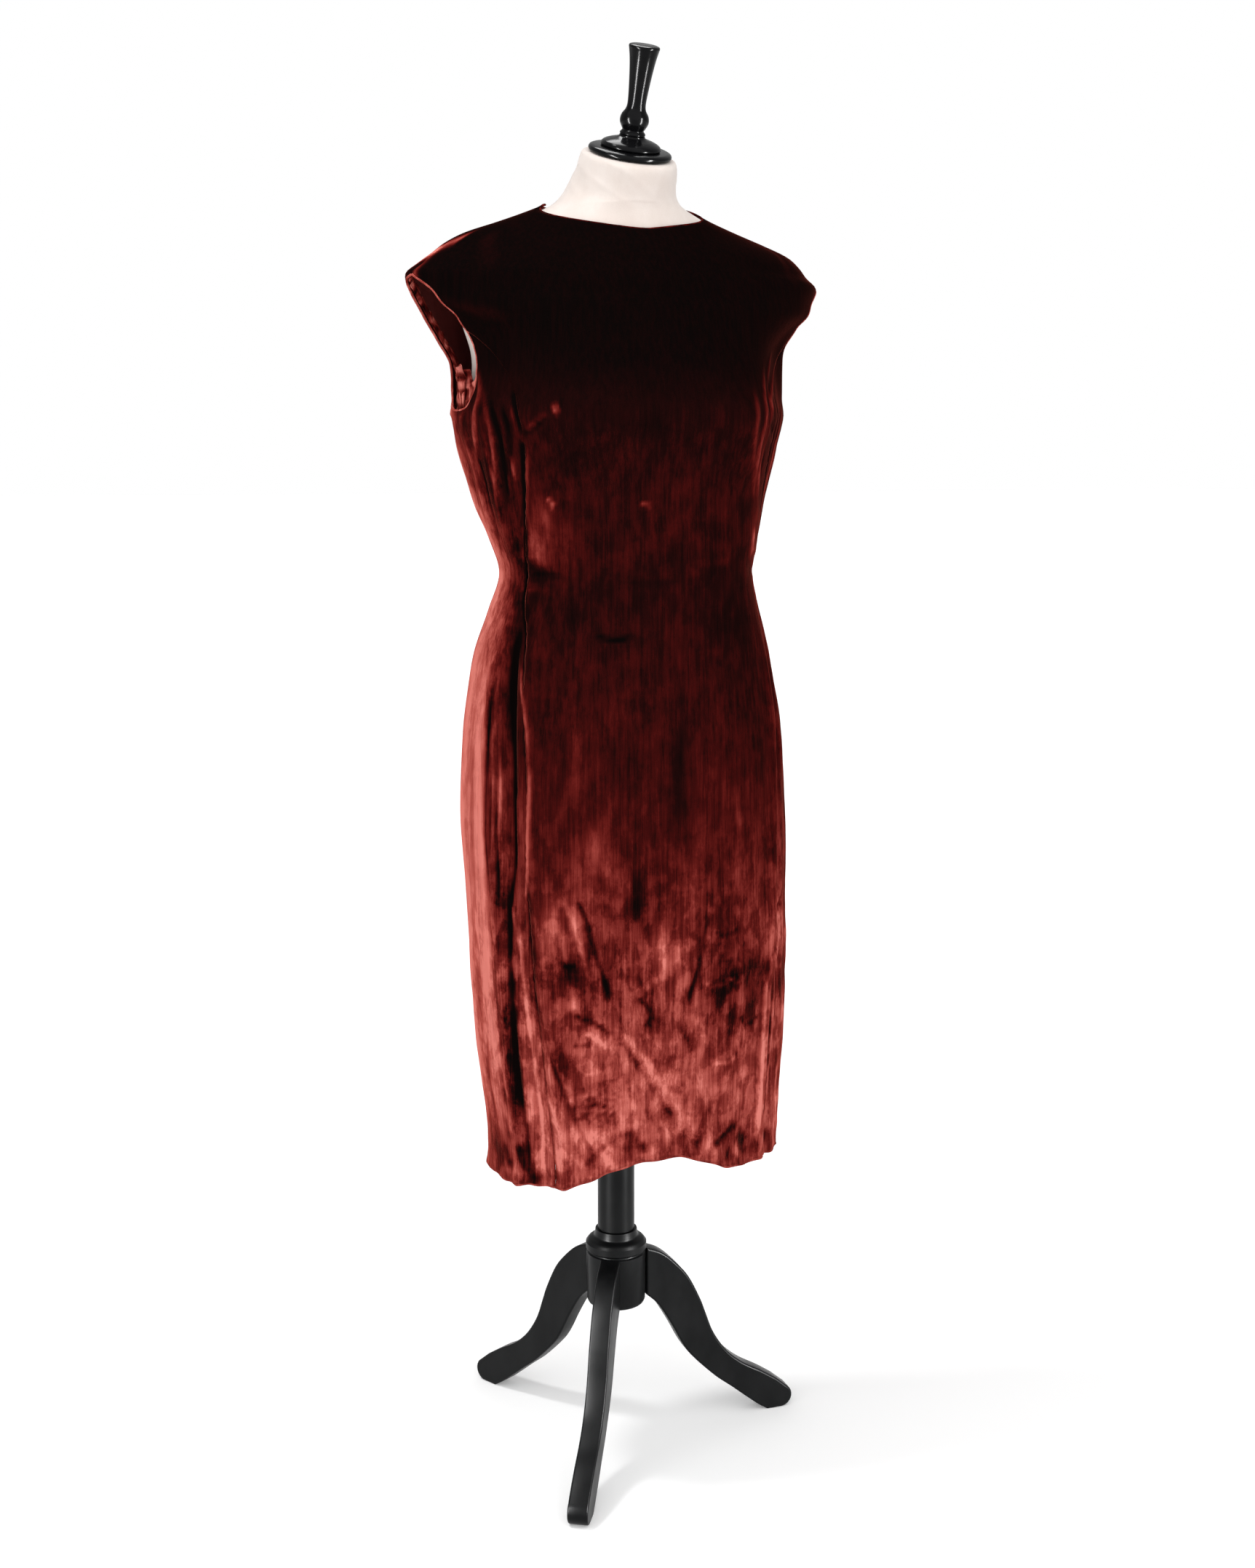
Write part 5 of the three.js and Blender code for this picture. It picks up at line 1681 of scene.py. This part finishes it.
@dataclass
class Stand:
    """Pole, turned hub and three cabriole legs, in satin black."""

    paint: bpy.types.Material
    pole_radius: float = 20.3
    pole_top: float = 700
    hub_radius: float = 32.3
    ring_out: float = 1.3
    hub_top: float = 242
    hub_bottom: float = 156
    leg_reach: float = 212
    leg_thickness: float = 22
    leg_turn: float = -34.6
    leg_count: int = 3
    leg_round: float = 2.2
    foot_radius: float = 13.5
    foot_top_angle: float = 59
    leg_top_edge: tuple[tuple[float, float], ...] = (
        (0, 217), (20, 208), (39, 190.5), (52, 173.5), (65, 147), (71, 131), (81, 105), (97, 81),
        (117, 63), (142, 48), (160, 36))
    leg_bottom_edge: tuple[tuple[float, float], ...] = (
        (149, 0), (137, 8), (119, 22.5), (104, 35), (83, 52), (58, 77), (45, 94), (30, 122), (14, 148),
        (0, 162))

    def dress_piece(self, piece: bpy.types.Object, node: str) -> bpy.types.Object:
        """Paint a piece of the stand and let it stand for its CAD node."""
        piece.data.materials.append(self.paint)
        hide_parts(node)
        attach(piece, "stand")
        return piece

    def pole(self) -> bpy.types.Object:
        """Turn the pole, with its ends eased."""
        r, top, low = self.pole_radius, self.pole_top, self.hub_top + 0.3
        profile = [(0, low), (r - 0.5, low), (r, low + 0.5), (r, low + 60), (r, top - 80), (r, top - 2),
                   (r - 0.6, top - 0.6), (r - 2, top), (0, top)]
        return lathe("pole_painted", profile, 96)

    def hub(self) -> bpy.types.Object:
        """Turn the hub with its bead, groove and coved shoulder."""
        r, top, low = self.hub_radius, self.hub_top, self.hub_bottom
        foot = rounded([(r - 5, low), (r - 1.6, low + 1.6), (r, low + 5)])
        ring = r + self.ring_out
        bead = rounded([(r, top - 27), (r - 1.8, top - 25.8), (r - 1.8, top - 24), (ring, top - 22)], 4)
        cove = rounded([(ring, top - 15), (r - 2.2, top - 10.8), (r - 7.4, top - 8.4), (r - 8.6, top - 5),
                        (r - 9.4, top)])
        profile = [(0, low), *foot, *bead, *cove, (0, top)]
        return lathe("hub_painted", profile, 112, 28)

    def leg_outline(self) -> np.ndarray:
        """Draw a leg's side outline as (distance from the axis, height) points."""
        start, r = self.hub_radius + 0.3, self.foot_radius
        top = curve_through(self.leg_top_edge, 7) + [start, 0]
        turns = np.radians(np.linspace(self.foot_top_angle, -90, 12))
        toe = np.stack([self.leg_reach - r + r * np.cos(turns), r + r * np.sin(turns)], axis=1)
        bottom = curve_through(self.leg_bottom_edge, 7) + [start, 0]
        return np.vstack([top, toe, bottom])

    def leg(self, number: int) -> bpy.types.Object:
        """Make one leg, sawn from a plank and rounded over along its edges.

        Args:
            number: 1 to 3.

        Returns:
            The leg.
        """
        outline = self.leg_outline() * MM
        curve = bpy.data.curves.new(f"leg_outline_{number}", "CURVE")
        curve.dimensions = "2D"
        curve.fill_mode = "BOTH"
        curve.extrude = (self.leg_thickness / 2 - self.leg_round) * MM
        curve.bevel_depth = self.leg_round * MM
        curve.bevel_resolution = 3
        curve.offset = -self.leg_round * MM
        spline = curve.splines.new("POLY")
        spline.points.add(len(outline) - 1)
        spline.use_cyclic_u = True
        for point, (out, up) in zip(spline.points, outline):
            point.co = (out, up, 0, 1)
        shape = bpy.data.objects.new("leg_shape", curve)
        bpy.context.scene.collection.objects.link(shape)
        ready = shape.evaluated_get(bpy.context.evaluated_depsgraph_get())
        mesh = bpy.data.meshes.new_from_object(ready)
        bpy.data.objects.remove(shape)
        turn = math.radians(self.leg_turn + 360 * (number - 1) / self.leg_count - 90)
        seat = Matrix.Translation(Vector((STAND_SHIFT * MM).tolist()))
        mesh.transform(seat @ Matrix.Rotation(turn, 4, "Z") @ Matrix.Rotation(math.pi / 2, 4, "X"))
        mesh.shade_smooth()
        mesh.set_sharp_from_angle(angle=math.radians(32))
        mesh.name = f"leg_{number}_painted"
        leg = bpy.data.objects.new(f"leg_{number}_painted", mesh)
        bpy.context.scene.collection.objects.link(leg)
        return leg

    def build(self) -> list[bpy.types.Object]:
        """Make the pole, the hub and the legs.

        Returns:
            The pieces.
        """
        pieces = [self.dress_piece(self.pole(), "pole"), self.dress_piece(self.hub(), "hub")]
        for number in range(1, self.leg_count + 1):
            pieces.append(self.dress_piece(self.leg(number), f"leg_{number}"))
        return pieces


@dataclass
class Zip:
    """The centre back zip: its teeth, its tape and its stitches; slider and pull are CAD nodes."""

    cut: DressCut
    metal: bpy.types.Material
    velvet: bpy.types.Material
    twill: bpy.types.Material
    tape_half: float = 9
    tape_under: float = 1.9
    tape_thickness: float = 0.5
    back_radius: float = 100
    metal_round: float = 0.22
    top: float = 1321
    bottom: float = 800
    pitch: float = 2.5
    tooth: tuple[float, float, float] = (2.3, 1.5, 1.25)
    tooth_sink: float = 0.55
    tooth_aside: float = 0.45
    tooth_taper: float = 0.72
    stitch_pitch: float = 4.6
    stitch_length: float = 2.3
    stitch_aside: float = 6.5

    def angle_at(self, aside: np.ndarray) -> np.ndarray:
        """Give the angles at distances from the centre back."""
        return (180 - np.degrees(np.abs(aside) / self.back_radius)) * np.where(aside >= 0, 1, -1)

    def spots(self, aside: np.ndarray, z: np.ndarray) -> tuple[np.ndarray, np.ndarray]:
        """Find the cloth's points and normals at distances from the centre back.

        Args:
            aside: millimetres from the centre back, to the wearer's left.
            z: heights.

        Returns:
            The points and the outward normals.
        """
        angle = self.angle_at(aside)
        point, _, _ = self.cut.cloth(angle, z)
        return point, self.cut.normals(angle, z)

    def teeth(self) -> bpy.types.Object:
        """Make the teeth, which mesh alternately across the centre back."""
        parts = []
        half = np.array(self.tooth) / 2
        corners = np.array([(x, y, z) for z in (-1, 1) for y in (-1, 1) for x in (-1, 1)], dtype=float)
        box = [(0, 2, 3, 1), (4, 5, 7, 6), (0, 1, 5, 4), (2, 6, 7, 3), (0, 4, 6, 2), (1, 3, 7, 5)]
        heights = np.arange(self.bottom, self.top, self.pitch)
        points, _ = self.spots(np.zeros_like(heights), heights)
        for k, point in enumerate(points):
            hand = 1 if k % 2 else -1
            taper = np.where(corners[:, :1] * hand > 0, self.tooth_taper, 1.0)
            size = half * np.hstack([np.ones_like(taper), taper, self.tooth_taper * taper])
            seat = np.array([self.tooth_aside * hand, point[1] - self.tooth_sink, point[2]])
            parts.append((seat + corners * size, box))
        teeth = add_mesh("zip_teeth", *join_parts(parts), smooth=False)
        ease_edges(teeth, self.metal_round, 1)
        teeth.data.materials.append(self.metal)
        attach(teeth, "form")
        return teeth

    def tape(self) -> bpy.types.Object:
        """Make the woven tape behind the teeth, which lies under both back panels."""
        rows = np.linspace(self.bottom - 8, self.top + 3, 90)
        aside, z = np.meshgrid(np.linspace(-self.tape_half, self.tape_half, 9), rows)
        angle = self.angle_at(aside)
        point = self.cut.plain_skin(angle, z) - self.cut.normals(angle, z) * self.tape_under
        tape = add_mesh("zip_tape", point.reshape(-1, 3), grid_faces(*z.shape))
        tape.data.materials.append(self.twill)
        thicken(tape, self.tape_thickness)
        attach(tape, "form")
        return tape

    def stitches(self) -> bpy.types.Object:
        """Make the two rows of stitches that hold the zip."""
        parts = []
        along = np.linspace(0, 1, 5)
        starts = np.arange(self.bottom, self.top, self.stitch_pitch)
        z = starts[:, None] + along[None] * self.stitch_length
        for side in Side:
            point, normal = self.spots(np.full_like(z, side.value * self.stitch_aside), z)
            raised = point + normal * (0.42 * np.sin(np.pi * along) - 0.12)[None, :, None]
            parts += [tube(path, 0.24, sides=5) for path in raised]
        rows = add_mesh("zip_stitches", *join_parts(parts))
        set_sheen_and_crush(rows, 0.5, 0.1)
        rows.data.materials.append(self.velvet)
        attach(rows, "form")
        return rows

    def build(self) -> list[bpy.types.Object]:
        """Make the teeth and stitches, and finish the slider and its pull.

        Returns:
            The new pieces.
        """
        for node in ("zip_slider", "zip_pull"):
            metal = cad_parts[node]
            metal.data.materials.clear()
            metal.data.materials.append(self.metal)
            ease_edges(metal, self.metal_round, 2).limit_method = "ANGLE"
        return [self.teeth(), self.tape(), self.stitches()]


@dataclass
class Studio:
    """Pale floor, a soft key light, a broad fill, three boxes for the gloss, and the camera."""

    camera_place: tuple[float, float, float] = (-0.8202, -1.8812, 1.0733)
    camera_look: tuple[float, float, float] = (0.4015, 0.9017, -0.1604)
    lens: float = 44.44
    floor_size: float = 160.0
    floor_lines: int = 17
    sky: float = 0.5
    key_from: tuple[float, float, float] = (-0.37, 0.10, 0.91)
    sun_away: float = 4
    aim_height: float = 0.9
    key_power: float = 0.75
    key_spread: float = 7
    fill_from: tuple[float, float, float] = (-0.31, -0.70, 0.64)
    fill_power: float = 2.3
    fill_spread: float = 100
    strip_left: tuple[float, float, float] = (-0.93, -0.36, 0.0)
    strip_right: tuple[float, float, float] = (0.588, -0.81, 0.0)
    strip_away: float = 1.9
    strip_power: float = 210
    strip_width: float = 0.23
    strip_height: float = 1.8
    top_from: tuple[float, float, float] = (0.10, 0.30, 1.0)
    top_away: float = 2.6
    top_power: float = 60
    top_size: float = 1.2

    def floor(self) -> bpy.types.Object:
        """Lay the floor."""
        run = np.linspace(-1, 1, self.floor_lines)
        run = np.sign(run) * run ** 2 * self.floor_size / 2
        points = np.array([(x, y, 0.0) for y in run for x in run])
        floor = add_mesh("studio_floor", points / MM - STAND_SHIFT, grid_faces(len(run), len(run)))
        floor.data.materials.append(FloorPaper().make())
        return floor

    def light(self, name: str, kind: str, toward: Sequence[float], distance: float,
              power: float) -> bpy.types.Object:
        """Hang one light that looks at the middle of the dress.

        Args:
            name: its name.
            kind: Blender's name for the kind of light.
            toward: direction from the dress to the light.
            distance: metres from the dress.
            power: watts, or watts a square metre for a sun.

        Returns:
            The lamp.
        """
        light = bpy.data.lights.new(name, kind)
        light.energy = power
        place = Vector(toward).normalized() * distance
        lamp = bpy.data.objects.new(name, light)
        lamp.location = place + Vector((0, 0, self.aim_height))
        lamp.rotation_euler = (-place).to_track_quat("-Z", "Y").to_euler()
        bpy.context.scene.collection.objects.link(lamp)
        return lamp

    def sky_light(self) -> bpy.types.World:
        """Make the sky: white behind the object, softer as a light."""
        world = bpy.data.worlds.new("studio_sky")
        world.use_nodes = True
        nodes, links = world.node_tree.nodes, world.node_tree.links
        ray = nodes.new("ShaderNodeLightPath")
        strength = nodes.new("ShaderNodeMapRange")
        strength.inputs["To Min"].default_value = self.sky
        strength.inputs["To Max"].default_value = 1.0
        links.new(ray.outputs["Is Camera Ray"], strength.inputs["Value"])
        nodes["Background"].inputs["Color"].default_value = (1, 1, 1, 1)
        links.new(strength.outputs["Result"], nodes["Background"].inputs["Strength"])
        return world

    def build(self) -> None:
        """Set the camera, the lights, the sky and the floor."""
        scene = bpy.context.scene
        data = bpy.data.cameras.new("photo_camera")
        data.lens = self.lens
        data.clip_end = 500
        camera = bpy.data.objects.new("photo_camera", data)
        camera.location = self.camera_place
        camera.rotation_euler = Vector(self.camera_look).to_track_quat("-Z", "Y").to_euler()
        scene.collection.objects.link(camera)
        scene.camera = camera
        scene.world = self.sky_light()
        scene.view_settings.view_transform = "Standard"
        suns = (("key", self.key_from, self.key_power, self.key_spread),
                ("fill", self.fill_from, self.fill_power, self.fill_spread))
        for name, toward, power, spread in suns:
            sun = self.light(f"{name}_light", "SUN", toward, self.sun_away, power)
            sun.data.angle = math.radians(spread)
        for name, toward in (("left", self.strip_left), ("right", self.strip_right)):
            lamp = self.light(f"strip_{name}", "AREA", toward, self.strip_away, self.strip_power)
            lamp.data.shape = "RECTANGLE"
            lamp.data.size, lamp.data.size_y = self.strip_width, self.strip_height
            lamp.visible_diffuse = lamp.visible_camera = False
        lamp = self.light("top_box", "AREA", self.top_from, self.top_away, self.top_power)
        lamp.data.size = self.top_size
        lamp.visible_diffuse = lamp.visible_camera = False
        self.floor()


def main() -> None:
    """Build the dress, its form and stand, and the studio."""
    velvet, backing = Velvet().make(), VelvetBack().make()
    metal = ZipMetal().make()
    cut = DressCut()
    makers: list[tuple[str, Callable[[], list[bpy.types.Object]]]] = [
        ("form", Form(cut, Jersey().make()).build),
        ("neck cap", NeckCap(Lacquer().make()).build),
        ("stand", Stand(SatinPaint().make()).build),
        ("dress", Dress(cut, velvet, backing).build),
        ("zip", Zip(cut, metal, velvet, backing).build),
    ]
    for name, build in makers:
        for piece in build():
            LOG.info("%s: %s, %d vertices", name, piece.name, len(piece.data.vertices))
    Studio().build()


if __name__ == "__main__":
    logging.basicConfig(level=logging.INFO, format="%(message)s")
    main()
